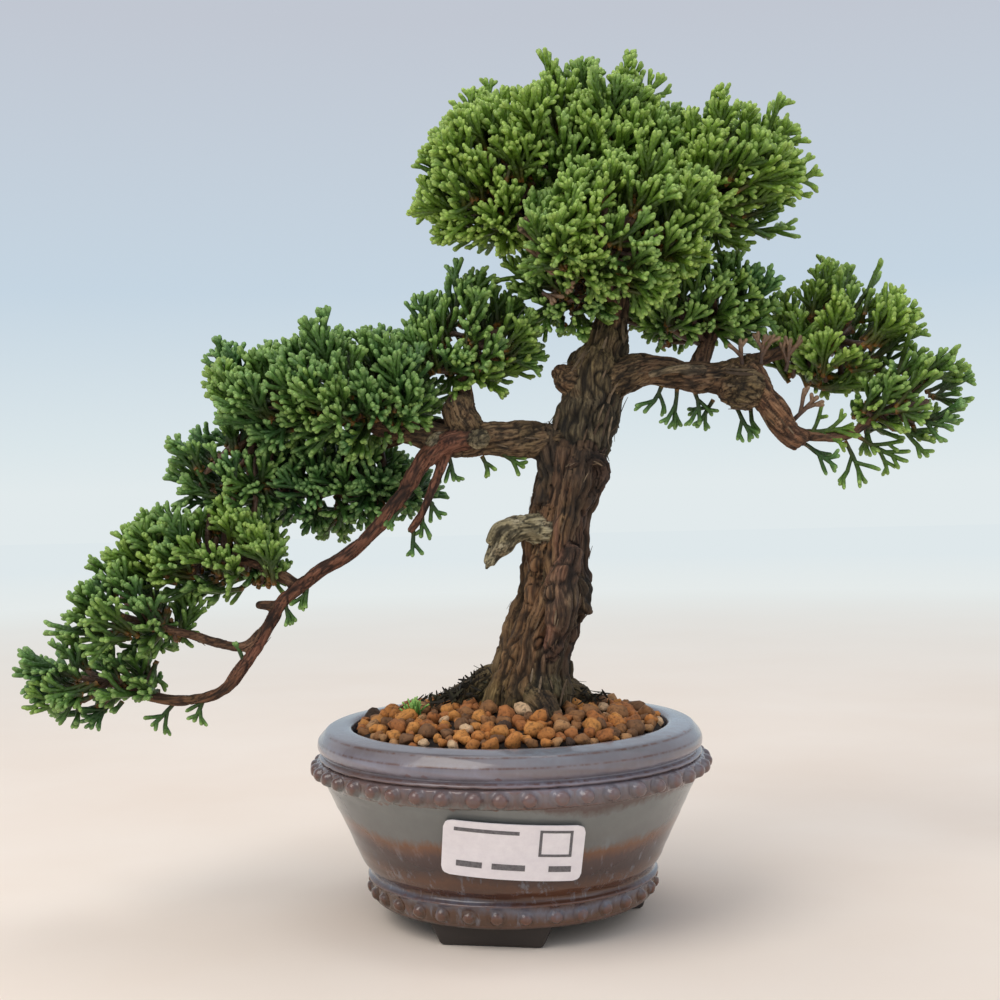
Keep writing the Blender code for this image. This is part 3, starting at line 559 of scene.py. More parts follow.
# Wood: one grown piece, the leaning trunk with its surface roots, a hooked dead
# stub, the left branch and its falling end, the knotted right branch and the
# twigs inside the foliage. Rows are x, y, z and radius in mm from the pot's axis.
LIMBS = {
    "trunk": [(3.0, 0, 42, 11.5), (3.8, 0, 48, 13.6), (4.5, 0, 54, 13.8), (5.8, 0, 61, 11.8),
              (7.5, 0, 69, 10.6), (10.5, 0, 79, 10.0), (13.2, 0, 87, 10.3), (13.4, 0, 95, 9.3),
              (14.2, 0, 106, 8.8), (17.0, 0, 114, 9.4), (18.6, 0, 123, 9.5), (21, 0, 130, 9.0),
              (24.0, 0, 138, 8.4), (25.5, 0, 146, 8.6), (28.0, 0, 153, 6.2), (30.5, 1, 161, 4.4),
              (32.0, 2, 178, 3.4), (33.0, 3, 198, 2.4), (33.0, 3, 210, 1.4)],
    "loose_plate": [(18.0, -8.0, 99, 2.6), (15.8, -10.0, 92, 4.0), (14.5, -10.6, 83, 4.2),
                    (12.4, -10.8, 75, 2.6), (11.2, -11.0, 70.5, 0.8)],
    "bulge": [(19, -3, 82, 4.2), (18.8, -4, 89, 4.4), (16.5, -4, 97, 3.4)],
    "lip": [(19, -7, 121.5, 2.4), (24.5, -6.8, 124, 1.8), (27.0, -4.5, 120, 1.6),
            (25.0, -5.5, 115.0, 1.2)],
    "shoulder": [(12, -3, 112, 4.0), (13.5, -4, 121, 4.4), (12, -3, 129, 4.6)],
    "root_left": [(-1, 4, 62, 6.0), (-11, 5, 57.5, 5.2), (-19, 5, 53, 3.6), (-24, 5, 47, 2.4)],
    "root_right": [(12, 2, 62, 5.6), (19, 4, 57, 4.4), (24, 6, 51, 2.8)],
    "root_front": [(6, -6, 62, 5.2), (9, -13, 56, 4.0), (12, -17, 49, 2.6)],
    "root_back": [(4, 6, 62, 5.4), (0, 15, 56, 4.2), (-3, 21, 49, 2.8)],
    "jin": [(13, -3, 104, 5.5), (6, -6, 105, 4.2), (1, -7, 104.4, 3.7), (-1.8, -7, 101, 3.0),
            (-3.8, -7, 97.8, 2.2), (-4.8, -7, 95.6, 1.5)],
    "jin_split": [(2, -9, 106, 2.0), (-2.2, -9, 105.2, 1.7), (-4.6, -8.6, 101.5, 1.0)],
    "jin_spike": [(-3.5, -7.5, 98, 1.0), (-5.6, -7.6, 94.6, 0.5)],
    "trunk_knob": [(24, -1, 143, 5.4), (17.5, -3, 146, 4.2), (14.6, -3.5, 148.6, 1.8)],
    "left_branch": [(20, -1, 127, 6.4), (10, -3, 128.5, 5.2), (0, -4, 129.3, 4.9),
                    (-9, -4, 129.6, 4.7), (-17, -4, 130, 4.4), (-28, -3, 133, 3.2),
                    (-45, -1, 137, 2.6), (-66, 0, 138, 1.8)],
    "left_branch_back": [(-10, -3, 131, 3.6), (-22, 8, 133, 2.4), (-46, 16, 126, 1.7)],
    "left_knot": [(-9, -5, 130, 4.6), (-12, -5, 137, 5.2), (-12, -4, 141, 3.0)],
    "left_riser": [(-10, -4, 135, 3.0), (-11, -2, 147, 2.0), (-8, 0, 158, 1.4)],
    "left_cut": [(-6, -6, 130, 2.4), (-7.5, -9.6, 129.6, 2.3)],
    "left_cut_end": [(-12, -5, 129.6, 3.0), (-18.6, -8, 129.0, 2.5)],
    "cascade": [(-9, -6, 130, 3.2), (-17, -8, 128, 2.9), (-24, -8, 121, 2.4),
                (-28, -8, 114.5, 2.2), (-36, -8, 105, 2.0), (-43, -8, 99, 2.0),
                (-51, -8, 94.5, 2.0), (-57, -8, 90, 1.9), (-62, -8, 85, 1.8), (-67, -8, 76, 1.7),
                (-72, -8, 69, 1.6), (-76, -8, 64, 1.6), (-84, -8, 61, 1.5), (-94, -7, 61, 1.4),
                (-108, -6, 66, 1.2)],
    "cascade_upper": [(-56, -8, 91, 1.6), (-68, -5, 97, 1.4), (-84, -3, 98, 1.1)],
    "cascade_mid": [(-66, -8, 79, 1.4), (-72, -8, 75, 1.3), (-86, -6, 78, 1.2), (-98, -5, 82, 1)],
    "cascade_stub": [(-63, -8, 86, 1.3), (-67.5, -9, 86.4, 1.0)],
    "hanging_twig": [(-15, -7, 127, 1.5), (-19.5, -7, 117, 1.2), (-22, -7, 111, 1.1),
                     (-26, -7, 105, 0.9)],
    "right_branch": [(27, -1, 146, 5.6), (37, -5, 147, 4.6), (47, -7, 146, 4.2),
                     (55, -8, 145, 4.2), (64, -8, 144.5, 5.0)],
    "right_knot": [(58, -9, 142, 4.0), (64, -9, 142.5, 6.2), (68, -8, 140, 4.4)],
    "right_stub": [(65, -8, 147, 4.6), (70, -9, 139, 3.8), (76, -9, 131, 3.5),
                   (80, -9, 127.5, 2.8)],
    "right_twig": [(77, -9, 130, 1.6), (84, -8, 128.5, 1.4), (93, -7, 129, 1.3),
                   (106, -5, 136, 1.1)],
    "right_riser": [(52, -7, 145, 2.8), (56, -2, 154, 2.2), (60, 2, 163, 1.5)],
    "right_outer": [(62, -7, 147, 2.4), (74, -2, 151, 2.0), (92, 3, 156, 1.5)],
    "right_dead": [(53, -11, 146.5, 1.2), (46, -12.5, 147, 1.1), (39, -13, 145.5, 0.9)],
    "crown_left": [(31, 1, 165, 2.6), (20, -3, 177, 2.0), (2, -6, 192, 1.4)],
    "crown_right": [(32, 2, 174, 2.4), (44, 1, 186, 1.9), (60, 0, 197, 1.3)],
    "crown_front": [(31, 1, 163, 2.4), (28, -12, 170, 1.9), (27, -24, 180, 1.3)],
    "crown_back": [(32, 2, 180, 2.2), (34, 14, 186, 1.7), (36, 28, 192, 1.2)],
    "crown_cut": [(16, -10, 177, 2.6), (10, -20, 182, 2.5), (6, -25, 184, 2.3)],
}
# Tints of the limbs; the strand tints added below also carry painted shade.
BARK_TINTS_AND_SHADE = {"loose_plate": "c4aca0", "cascade": "c08e7c", "hanging_twig": "c08e7c",
        "right_stub": "e4ccb0", "right_knot": "b4a088", "bulge": "b0a488"}
# Strand tints differ from strand to strand; the darker ones sit on the trunk's right side, away from the key
# light, as painted shade.
STRAND_TONES = ("dcd2a4", "d0c49c", "b0a484", "8c8068", "6c6250", "7c705c", "a0947a", "c0b48e")
core_rows = np.array(LIMBS["trunk"])
for k, tint in enumerate(STRAND_TONES):
    rows = []
    for level in range(46, 128, 10):
        x, y, thick = (np.interp(level, core_rows[:, 2], core_rows[:, c]) for c in (0, 1, 3))
        turn = math.radians(45 * k - 165) + 0.011 * (level - 46) + 0.10 * math.sin(level * 0.13 + k)
        fat = thick * (0.33 + 0.06 * math.sin(2.4 * k + level * 0.05))
        rows.append((x + thick * 0.68 * math.cos(turn), y + thick * 0.68 * math.sin(turn),
                     level, fat))
    LIMBS["strand_%d" % k] = rows
    BARK_TINTS_AND_SHADE["strand_%d" % k] = tint
LIMBS["trunk"] = [(x, y, z, r * (0.80 if z < 128 else 1.0)) for x, y, z, r in LIMBS["trunk"]]
DEAD = {"jin": 1.0, "jin_split": 1.0, "jin_spike": 1.0, "left_cut": 0.8, "left_cut_end": 0.8, "right_dead": 0.5, "crown_cut": 0.4}
GRID = 0.47              # mesh size of the bark, mm
dice = random.Random(8)


def flowing(rows, gap):
    """Smooth path through the rows at an even gap, by Catmull-Rom pieces."""
    pts = np.array(rows, float)
    pts = np.vstack([2 * pts[0] - pts[1], pts, 2 * pts[-1] - pts[-2]])
    out = []
    for k in range(1, len(pts) - 2):
        a, b, c, d = pts[k - 1:k + 3]
        parts = max(2, int(np.linalg.norm((c - b)[:3]) / gap))
        for j in range(parts):
            t = j / parts
            out.append(0.5 * (2 * b + (c - a) * t + (2 * a - 5 * b + 4 * c - d) * t * t
                              + (3 * b - a - 3 * c + d) * t ** 3))
    out.append(pts[-2])
    return np.array(out)


noise.seed_set(8)
wood_mesh = bpy.data.meshes.new("wood_cores")
bm = bmesh.new()
lines = []
for number, (name, rows) in enumerate(LIMBS.items()):
    path = flowing(rows, 1.0)
    seed = Vector((number * 3.7, 1.3, 8.1))
    for row in path:
        here = Vector(row[:3])
        thick = row[3]
        sway = noise.noise_vector(here / 9 + seed) * min(0.9, 0.30 * thick)
        row[:3] += np.array(sway)
        row[3] = thick * (1 + 0.16 * noise.noise(here / 4.5 + seed))
    ahead = np.gradient(path[:, :3], axis=0)
    ahead /= np.linalg.norm(ahead, axis=1)[:, None]
    side = np.cross(ahead[0], (0.3, 1.0, 0.2))
    run = 0.0
    rings = []
    for k, row in enumerate(path):
        side = side - ahead[k] * np.dot(side, ahead[k])
        side /= np.linalg.norm(side)
        flat = np.cross(ahead[k], side)
        if k:
            run += np.linalg.norm(row[:3] - path[k - 1][:3])
        lines.append((number, run, *row, *ahead[k], *side, *flat))
        around = 10 if row[3] < 3 else 18
        ring = []
        for j in range(18):
            turn = 2 * math.pi * j / 18
            spot = row[:3] + row[3] * (side * math.cos(turn) + flat * math.sin(turn))
            ring.append(bm.verts.new(spot))
        rings.append(ring)
    for a, b in zip(rings, rings[1:]):
        for j in range(18):
            bm.faces.new((a[j], a[(j + 1) % 18], b[(j + 1) % 18], b[j]))
    for ring, end, way in ((rings[0], path[0], -1), (rings[-1], path[-1], 1)):
        tip = bm.verts.new(end[:3] + ahead[0 if way < 0 else -1] * way * end[3] * 0.35)
        for j in range(18):
            pair = (ring[j], ring[(j + 1) % 18])
            bm.faces.new((tip, *(pair if way > 0 else pair[::-1])))
bmesh.ops.recalc_face_normals(bm, faces=bm.faces)
bm.to_mesh(wood_mesh)
bm.free()
core = bpy.data.objects.new("wood_cores", wood_mesh)
bpy.context.scene.collection.objects.link(core)
skin = core.modifiers.new("skin", "REMESH")
skin.mode = "VOXEL"
skin.voxel_size = GRID
bpy.context.view_layer.update()
bark_mesh = bpy.data.meshes.new_from_object(core.evaluated_get(bpy.context.evaluated_depsgraph_get()))
core.modifiers.clear()
bpy.data.objects.remove(core)

lines = np.array(lines)
count = len(bark_mesh.vertices)
spot = np.empty(count * 3, np.float32)
bark_mesh.vertices.foreach_get("co", spot)
spot = spot.reshape(-1, 3).astype(float)
out = np.empty(count * 3, np.float32)
bark_mesh.vertex_normals.foreach_get("vector", out)
out = out.reshape(-1, 3).astype(float)
near = np.empty(count, int)
for first in range(0, count, 4000):
    part = spot[first:first + 4000]
    away = np.linalg.norm(part[:, None, :] - lines[None, :, 2:5], axis=2) / (lines[None, :, 5] + 0.8)
    near[first:first + 4000] = away.argmin(axis=1)
line = lines[near]
off = spot - line[:, 2:5]
run = line[:, 1] + (off * line[:, 6:9]).sum(1)
across = (off * line[:, 9:12]).sum(1)
over = (off * line[:, 12:15]).sum(1)
thick = line[:, 5]
limb_names = list(LIMBS)
is_trunk = np.isin(line[:, 0], [limb_names.index(n) for n in (
    "trunk", "loose_plate", "bulge", "lip", "shoulder",
    *["strand_%d" % k for k in range(len(STRAND_TONES))])])
spin = np.where(is_trunk, 0.028, 0.05) * run
a2 = across * np.cos(spin) - over * np.sin(spin)
b2 = across * np.sin(spin) + over * np.cos(spin)
grain = np.stack([a2, b2, run * np.where(is_trunk, 0.085, 0.13) + line[:, 0] * 17.3], axis=1)
scale = np.where(is_trunk, 0.95, np.clip(thick / 7.0, 0.12, 0.75))
moved = np.empty(count)
crack_and_hollow_shade = np.empty(count)
for k in range(count):
    g = Vector(grain[k])
    here = Vector(spot[k])
    bend = noise.noise(here / 7.0) * 0.8
    cell = 3.6 if thick[k] > 2.6 and is_trunk[k] else 1.7
    n1 = noise.noise(g / cell + Vector((bend, 0, bend)))
    n2 = noise.noise(g / (cell * 0.45) + Vector((9.1, bend, 3.3)))
    n3 = noise.noise(here / 5.2 + Vector((4.4, 2.2, 0)))
    n4 = noise.noise(here / 1.9)
    deep = math.exp(-(n1 / 0.10) ** 2)
    fine = math.exp(-(n2 / 0.13) ** 2)
    moved[k] = scale[k] * (1.05 * n3 + 0.55 * n1 + 0.30 * n4 - 1.15 * deep - 0.40 * fine + 0.35)
    # Painted shade: how dark the cracks and the low hollows of the bark are painted.
    crack_and_hollow_shade[k] = min(1.0, max(deep, 0.75 * fine) + 0.35 * max(0.0, -n3))
spot = spot + out * moved[:, None]
bark_mesh.vertices.foreach_set("co", ((spot * MM + np.array(AXIS))).astype(np.float32).ravel())
dead = np.array([DEAD.get(n, 0.0) for n in limb_names])[line[:, 0].astype(int)]
bark_tint_and_painted_shade = np.array([tone(BARK_TINTS_AND_SHADE.get(n, "b4a48e")) for n in limb_names])[line[:, 0].astype(int)]
# Painted shade: the trunk is darkened on its upper part, from 104 to 150 mm up.
painted_shade_upper_trunk = np.clip((spot[:, 2] - 104) / 16, 0, 1) * is_trunk * np.clip((150 - spot[:, 2]) / 12, 0, 1)
reach_u = (spot[:, 0] - np.interp(spot[:, 2], core_rows[:, 2], core_rows[:, 0])) / thick
front = is_trunk * (out[:, 1] < 0.2)
streak = np.interp(spot[:, 2], (60, 73, 83, 91, 98, 110), (0.38, 0.32, 0.02, 0.18, 0.08, -0.42))
streak = np.exp(-((reach_u - streak) / 0.20) ** 2) * front
streak *= np.clip((116 - spot[:, 2]) / 9, 0, 1) * np.clip((spot[:, 2] - 60) / 9, 0, 1)
wedge = np.exp(-((reach_u - 0.30) / 0.24) ** 2) * front * np.clip((74 - spot[:, 2]) / 8, 0, 1)
# Painted shade on the trunk's right side, away from the key light.
shady = np.clip((reach_u - 0.50) / 0.35, 0, 1) * is_trunk
ageing = np.array(tone("c8a6a4"))[:3] ** 0.9
bark_tint_and_painted_shade[:, :3] += (ageing - bark_tint_and_painted_shade[:, :3]) * (0.85 * streak)[:, None]
# The painted shades and the dark wedge are multiplied into the bark's tint.
bark_tint_and_painted_shade[:, :3] *= (1 - 0.78 * painted_shade_upper_trunk)[:, None]
bark_tint_and_painted_shade[:, :3] *= (1 - 0.72 * np.maximum(wedge, shady))[:, None]
bark_mesh.attributes.new("bark_tint_and_painted_shade", "FLOAT_COLOR", "POINT").data.foreach_set("color", bark_tint_and_painted_shade.ravel())
bark_mesh.attributes.new("crack_and_hollow_shade", "FLOAT", "POINT").data.foreach_set("value", crack_and_hollow_shade)
bark_mesh.attributes.new("dead", "FLOAT", "POINT").data.foreach_set("value", dead)
bark_mesh.attributes.new("thick", "FLOAT", "POINT").data.foreach_set("value", thick)
bark_mesh.attributes.new("grain", "FLOAT_VECTOR", "POINT").data.foreach_set("vector", grain.ravel())
bark_mesh.polygons.foreach_set("use_smooth", [True] * len(bark_mesh.polygons))
bark_mesh.update()

# Old juniper bark: dry, fibrous, grey-brown in long split plates, its cracks and hollows painted
# near black as shade, redder on thin wood, bleached on dead wood, a green film near the soil.
# The tint read from the trunk also carries painted shade on its upper part and right side.
bark, tree, shader = new_material("juniper_bark", Roughness=0.85)
grain_at = node(tree, "ShaderNodeAttribute", attribute_name="grain").outputs["Vector"]
crack = node(tree, "ShaderNodeAttribute", attribute_name="crack_and_hollow_shade").outputs["Fac"]
dry = node(tree, "ShaderNodeAttribute", attribute_name="dead").outputs["Fac"]
girth = node(tree, "ShaderNodeAttribute", attribute_name="thick").outputs["Fac"]
place = node(tree, "ShaderNodeTexCoord").outputs["Object"]
fibre = node(tree, "ShaderNodeTexNoise", {"Vector": grain_at, "Scale": 1.7, "Detail": 6.0,
                                          "Roughness": 0.72}).outputs["Fac"]
patch = node(tree, "ShaderNodeTexNoise", {"Vector": place, "Scale": 130.0, "Detail": 3.0})
old = node(tree, "ShaderNodeValToRGB", {"Fac": fibre}, stops=[
    (0.25, "30261a"), (0.40, "6a5a42"), (0.52, "9c8c6c"), (0.64, "c8b892"), (0.80, "e6dcc0")])
thin = node(tree, "ShaderNodeValToRGB", {"Fac": fibre}, stops=[
    (0.25, "4a3228"), (0.45, "86644f"), (0.60, "ac8870"), (0.80, "d2b8a0")])
bleached = node(tree, "ShaderNodeValToRGB", {"Fac": fibre}, stops=[
    (0.25, "5e543f"), (0.45, "9c9072"), (0.62, "c2b697"), (0.80, "ddd4ba")])
slim = node(tree, "ShaderNodeMapRange", {"Value": girth, "From Min": 6.0, "From Max": 3.0})
coat = node(tree, "ShaderNodeMix", {0: slim.outputs[0], 6: old.outputs[0], 7: thin.outputs[0]},
            data_type="RGBA").outputs[2]
# This tint carries the painted shade of the trunk's upper part and right side.
tint_with_painted_shade = node(tree, "ShaderNodeAttribute", attribute_name="bark_tint_and_painted_shade").outputs["Color"]
coat = node(tree, "ShaderNodeMix", {0: 0.75, 6: coat, 7: tint_with_painted_shade}, data_type="RGBA",
            blend_type="MULTIPLY").outputs[2]
coat = node(tree, "ShaderNodeMix", {0: dry, 6: coat, 7: bleached.outputs[0]},
            data_type="RGBA").outputs[2]
tint = node(tree, "ShaderNodeValToRGB", {"Fac": patch.outputs["Fac"]},
            stops=[(0.34, "64604a"), (0.46, "ece8d6"), (0.56, "ffffff"), (0.70, "dcc6b4")])
coat = node(tree, "ShaderNodeMix", {0: 0.7, 6: coat, 7: tint.outputs[0]}, data_type="RGBA",
            blend_type="MULTIPLY").outputs[2]
level = node(tree, "ShaderNodeSeparateXYZ", {"Vector": place}).outputs["Z"]
damp_foot = node(tree, "ShaderNodeMapRange", {"Value": level, "From Min": 0.085, "From Max": 0.056})
film = node(tree, "ShaderNodeMath", {0: damp_foot.outputs[0], 1: patch.outputs["Fac"]},
            operation="MULTIPLY")
film = node(tree, "ShaderNodeMapRange", {"Value": film.outputs[0], "From Min": 0.25,
                                         "From Max": 0.75, "To Max": 0.7})
coat = node(tree, "ShaderNodeMix", {0: film.outputs[0], 6: coat, 7: tone("4c4f22")},
            data_type="RGBA").outputs[2]
# Painted shade in the cracks and hollows, down to near black.
painted_crack_shade = node(tree, "ShaderNodeValToRGB", {"Fac": crack}, stops=[(0.15, 1.0), (0.6, 0.40), (1, 0.16)])
coat = node(tree, "ShaderNodeMix", {0: 1.0, 6: coat, 7: painted_crack_shade.outputs[0]}, data_type="RGBA",
            blend_type="MULTIPLY").outputs[2]
tree.links.new(coat, shader.inputs["Base Color"])
bump = node(tree, "ShaderNodeBump", {"Height": fibre, "Strength": 0.9, "Distance": 0.0007})
tree.links.new(bump.outputs[0], shader.inputs["Normal"])
wood = add_piece("trunk_and_branches", bark_mesh, bark)
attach(wood, "root")
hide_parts("trunk")

# Loose bark: dry strips that peel off the trunk and thick limbs along the
# grain, and a dark heap of flakes over the left root. Closed thin slivers.
sliver = bpy.data.meshes.new("bark_sliver")
bm = bmesh.new()
for part in range(2):
    for k in range(6):
        t = k / 5
        wide = 0.5 * (0.25 + math.sin(math.pi * min(1, t * 0.8 + 0.12)))
        lift = 0.30 * t ** 2.2
        for side in (-1, 1):
            bm.verts.new((t * 2 - 1, side * wide * 0.30, lift + (0.05 if part else 0.0)))
bm.verts.ensure_lookup_table()
for k in range(5):
    a, b, c, d = 2 * k, 2 * k + 1, 2 * k + 3, 2 * k + 2
    for quad in ((a, b, c, d), (a + 12, d + 12, c + 12, b + 12), (a, d, d + 12, a + 12),
                 (b, b + 12, c + 12, c)):
        bm.faces.new([bm.verts[i] for i in quad])
for quad in ((0, 12, 13, 1), (10, 11, 23, 22)):
    bm.faces.new([bm.verts[i] for i in quad])
bmesh.ops.recalc_face_normals(bm, faces=bm.faces)
bm.to_mesh(sliver)
bm.free()
sliver_home = bpy.data.collections.new("sliver_shapes")
sliver_home.objects.link(bpy.data.objects.new("sliver", sliver))

picks = []
while len(picks) < 330:
    k = dice.randrange(count)
    keep = 1.0 if is_trunk[k] else 0.55 if thick[k] > 3.2 else 0.10
    if spot[k][2] > 54 and dead[k] < 0.5 and dice.random() < keep:
        picks.append(k)
at, turns, sizes, hues = [], [], [], []
for k in picks:
    along = Vector(line[k, 6:9]) * dice.choice((-1, 1))
    face = Vector(out[k])
    along = (along - face * along.dot(face) + face * dice.uniform(0.0, 0.3)).normalized()
    cross = face.cross(along).normalized()
    frame_in = Matrix((along, cross, along.cross(cross))).transposed()
    at.append(Vector(spot[k]) * MM + AXIS + face * 0.15 * MM)
    turns.append(frame_in.to_euler())
    long = dice.uniform(1.6, 4.2) * (1 if thick[k] > 5 else 0.5)
    sizes.append((long * MM, long * dice.uniform(0.45, 0.9) * MM, long * dice.uniform(0.4, 1.1) * MM))
    hues.append(dice.uniform(0.02, 0.75))
for k in range(230):
    x = dice.gauss(-13.5, 5.0)
    y = dice.gauss(3.5, 4.0)
    z = heap_z(x, y) + 2.2 + 7.0 * math.exp(-((x + 6) / 8) ** 2) * dice.random() + dice.random()
    at.append(Vector((x, y, z)) * MM + AXIS)
    turns.append(Matrix.Rotation(dice.uniform(0, 6.28), 3, "Z").to_euler())
    turns[-1].rotate(Matrix.Rotation(dice.uniform(-1.2, 1.2), 3, "X").to_euler())
    turns[-1].rotate(Matrix.Rotation(dice.uniform(-1.4, 0.3), 3, "Y").to_euler())
    long = dice.uniform(0.9, 2.4)
    sizes.append((long * MM, long * MM, long * MM))
    hues.append(-dice.random())
for k in range(70):
    x, y = dice.gauss(21.5, 3.0), dice.gauss(0, 4.0)
    at.append(Vector((x, y, heap_z(x, y) + 2.0 + 3.5 * dice.random())) * MM + AXIS)
    turns.append(Matrix.Rotation(dice.uniform(0, 6.28), 3, "Z").to_euler())
    turns[-1].rotate(Matrix.Rotation(dice.uniform(-1.0, 1.0), 3, "X").to_euler())
    long = dice.uniform(0.9, 2.0)
    sizes.append((long * MM, long * MM, long * MM))
    hues.append(-dice.random())
seeds = bpy.data.meshes.new("sliver_spots")
seeds.from_pydata([tuple(p) for p in at], [], [])
seeds.attributes.new("sliver_size", "FLOAT_VECTOR", "POINT").data.foreach_set(
    "vector", [c for s in sizes for c in s])
seeds.attributes.new("sliver_turn", "FLOAT_VECTOR", "POINT").data.foreach_set(
    "vector", [c for t in turns for c in t])
seeds.attributes.new("sliver_hue", "FLOAT", "POINT").data.foreach_set("value", hues)
sliver_tree, entry, leave = new_group("lay_slivers", ("Shapes", "NodeSocketCollection"),
                                      ("Finish", "NodeSocketMaterial"))
shapes = node(sliver_tree, "GeometryNodeCollectionInfo", {
    "Collection": entry.outputs["Shapes"], "Separate Children": True, "Reset Children": True})
size = node(sliver_tree, "GeometryNodeInputNamedAttribute", {"Name": "sliver_size"},
            data_type="FLOAT_VECTOR")
turn = node(sliver_tree, "GeometryNodeInputNamedAttribute", {"Name": "sliver_turn"},
            data_type="FLOAT_VECTOR")
laid = node(sliver_tree, "GeometryNodeInstanceOnPoints", {
    "Points": entry.outputs["Geometry"], "Instance": shapes.outputs[0], "Pick Instance": True,
    "Rotation": turn.outputs[0], "Scale": size.outputs[0]})
real = node(sliver_tree, "GeometryNodeRealizeInstances", {0: laid.outputs[0]})
painted = node(sliver_tree, "GeometryNodeSetMaterial", {
    "Geometry": real.outputs[0], "Material": entry.outputs["Finish"]})
sliver_tree.links.new(painted.outputs[0], leave.inputs[0])

flake, tree, shader = new_material("peeled_bark", Roughness=0.88)
hue = node(tree, "ShaderNodeAttribute", attribute_name="sliver_hue").outputs["Fac"]
shift = node(tree, "ShaderNodeMapRange", {"Value": hue, "From Min": -1.0, "From Max": 1.0})
body = node(tree, "ShaderNodeValToRGB", {"Fac": shift.outputs[0]}, stops=[
    (0.0, "1b170f"), (0.25, "2b2418"), (0.42, "3c3b20"), (0.50, "3a2c20"), (0.65, "5a4836"),
    (0.85, "7c6a54"), (1.0, "9c8c74")])
speck = node(tree, "ShaderNodeTexNoise", {"Vector": node(tree, "ShaderNodeTexCoord").outputs["Object"],
                                          "Scale": 700.0, "Detail": 3.0})
shade = node(tree, "ShaderNodeValToRGB", {"Fac": speck.outputs["Fac"]},
             stops=[(0.35, 0.6), (0.65, 1.2)])
coat = node(tree, "ShaderNodeMix", {0: 1.0, 6: body.outputs[0], 7: shade.outputs[0]},
            data_type="RGBA", blend_type="MULTIPLY").outputs[2]
tree.links.new(coat, shader.inputs["Base Color"])
flakes = add_piece("bark_flakes", grow("bark_flakes", seeds, sliver_tree,
                                       {"Shapes": sliver_home, "Finish": flake}), None)
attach(flakes, "root")
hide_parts("trunk")

# Foliage: scale leaves pressed to short forking cords, as on a dwarf juniper.
# Each pad is tufts of flat forked sprays that fan out from the twigs inside.
# lean x, y, z; mm2 of pad for one spray; warmth of the green; finger length mm.
PADS = {
    "crown_top": ((0.0, 0, 0.5), 36, 0.80, 3.0), "crown_left": ((-0.4, 0, 0.3), 36, 0.95, 3.0),
    "crown_right": ((0.6, 0, 0.3), 42, 0.80, 3.6), "crown_front": ((0.4, -0.3, 0.3), 36, 0.80, 3.2),
    "crown_back": ((0.0, 0.3, 0.2), 44, 0.60, 3.0), "crown_low": ((-0.1, -0.2, -0.3), 38, 0.45, 3.0),
    "right_inner": ((0.3, -0.2, 0.4), 44, 0.50, 3.6), "right_outer": ((0.4, 0, 0.7), 52, 0.90, 4.0),
    "right_tip": ((0.9, 0, 0.15), 54, 0.60, 4.0), "left_inner": ((0.3, 0, 0.5), 40, 0.50, 3.6),
    "left_main": ((-0.3, 0, 0.35), 34, 0.30, 2.8), "left_back": ((-0.3, 0.2, -0.2), 38, 0.05, 3.0),
    "left_outer": ((-0.6, 0, 0.2), 44, 0.20, 3.4), "cascade_upper": ((-0.4, 0, 0.4), 42, 0.50, 3.8),
    "cascade_mid": ((-0.7, 0, 0.2), 44, 0.35, 3.8), "cascade_tip": ((-0.9, 0, -0.05), 44, 0.25, 3.8),
}
CORD = 0.69              # radius of a leafy cord, mm
TUFT_GAP = 14.0          # between the tufts of a pad, mm
STEP = 2.1               # between two side cords, mm
dice = random.Random(5)
cords = {}


def cord(way, at, lift, length, thick, runs, hue, step=STEP):
    """Grow one cord in the open list of cords and return its places and directions."""
    parts = max(1, round(length / step))
    step = length / parts
    places, ways = [at], [way]
    for k in range(parts):
        sway = Vector((dice.gauss(0, 1), dice.gauss(0, 1), dice.gauss(0, 1)))
        way = (way + lift * step * 0.035 + sway * 0.08).normalized()
        at = at + way * step
        places.append(at)
        ways.append(way)
    first = len(cords["at"])
    for k, place in enumerate(places):
        share = k / parts
        cords["at"].append(place if k < parts else place - ways[-1] * thick * 0.75)
        cords["thick"].append(thick * (1 + 0.07 * (-1) ** k))
        cords["run"].append(runs[0] + (runs[1] - runs[0]) * share)
        cords["hue"].append(hue)
    cords["at"].append(places[-1])
    cords["thick"].append(thick * 0.42)
    cords["run"].append(runs[1])
    cords["hue"].append(hue)
    cords["links"] += [(k, k + 1) for k in range(first, len(cords["at"]) - 1)]
    return places, ways


def spray(way, at, flat, lift, length, thick, hue, finger, level=0, run=0.0):
    """A cord with side cords alternating in one plane, and stubby fingers near the tips."""
    end = 1.0
    places, ways = cord(way, at, lift, length, thick, (run, end), hue)
    side = dice.choice((-1, 1))
    for k in range(1, len(places) - 1):
        share = k / (len(places) - 1)
        rest = length * (1 - share)
        side = -side
        if (level == 0 and share < 0.25) or (level == 1 and share < 0.42) or rest < 1.2:
            continue
        if dice.random() < (0.10 if level == 0 else 0.30):
            continue
        tilt = math.radians(dice.uniform(30, 46)) * side
        plane = (flat + Vector((dice.gauss(0, 0.3), dice.gauss(0, 0.3),
                                dice.gauss(0, 0.3)))).normalized()
        turned = Matrix.Rotation(tilt, 3, plane) @ ways[k]
        here = run + (end - run) * share
        if level == 0:
            spray(turned, places[k], plane, lift, min(9.0, rest * dice.uniform(0.75, 1.05) + 0.8),
                  thick * 0.96, hue, finger, 1, here)
        else:
            long = min(rest + 0.8, finger * dice.uniform(0.65, 1.05))
            cord(turned, places[k], lift, long, thick * 0.94, (here, end), hue, 2.2)


def open_list():
    cords.clear()
    cords.update(at=[], thick=[], run=[], hue=[], links=[])


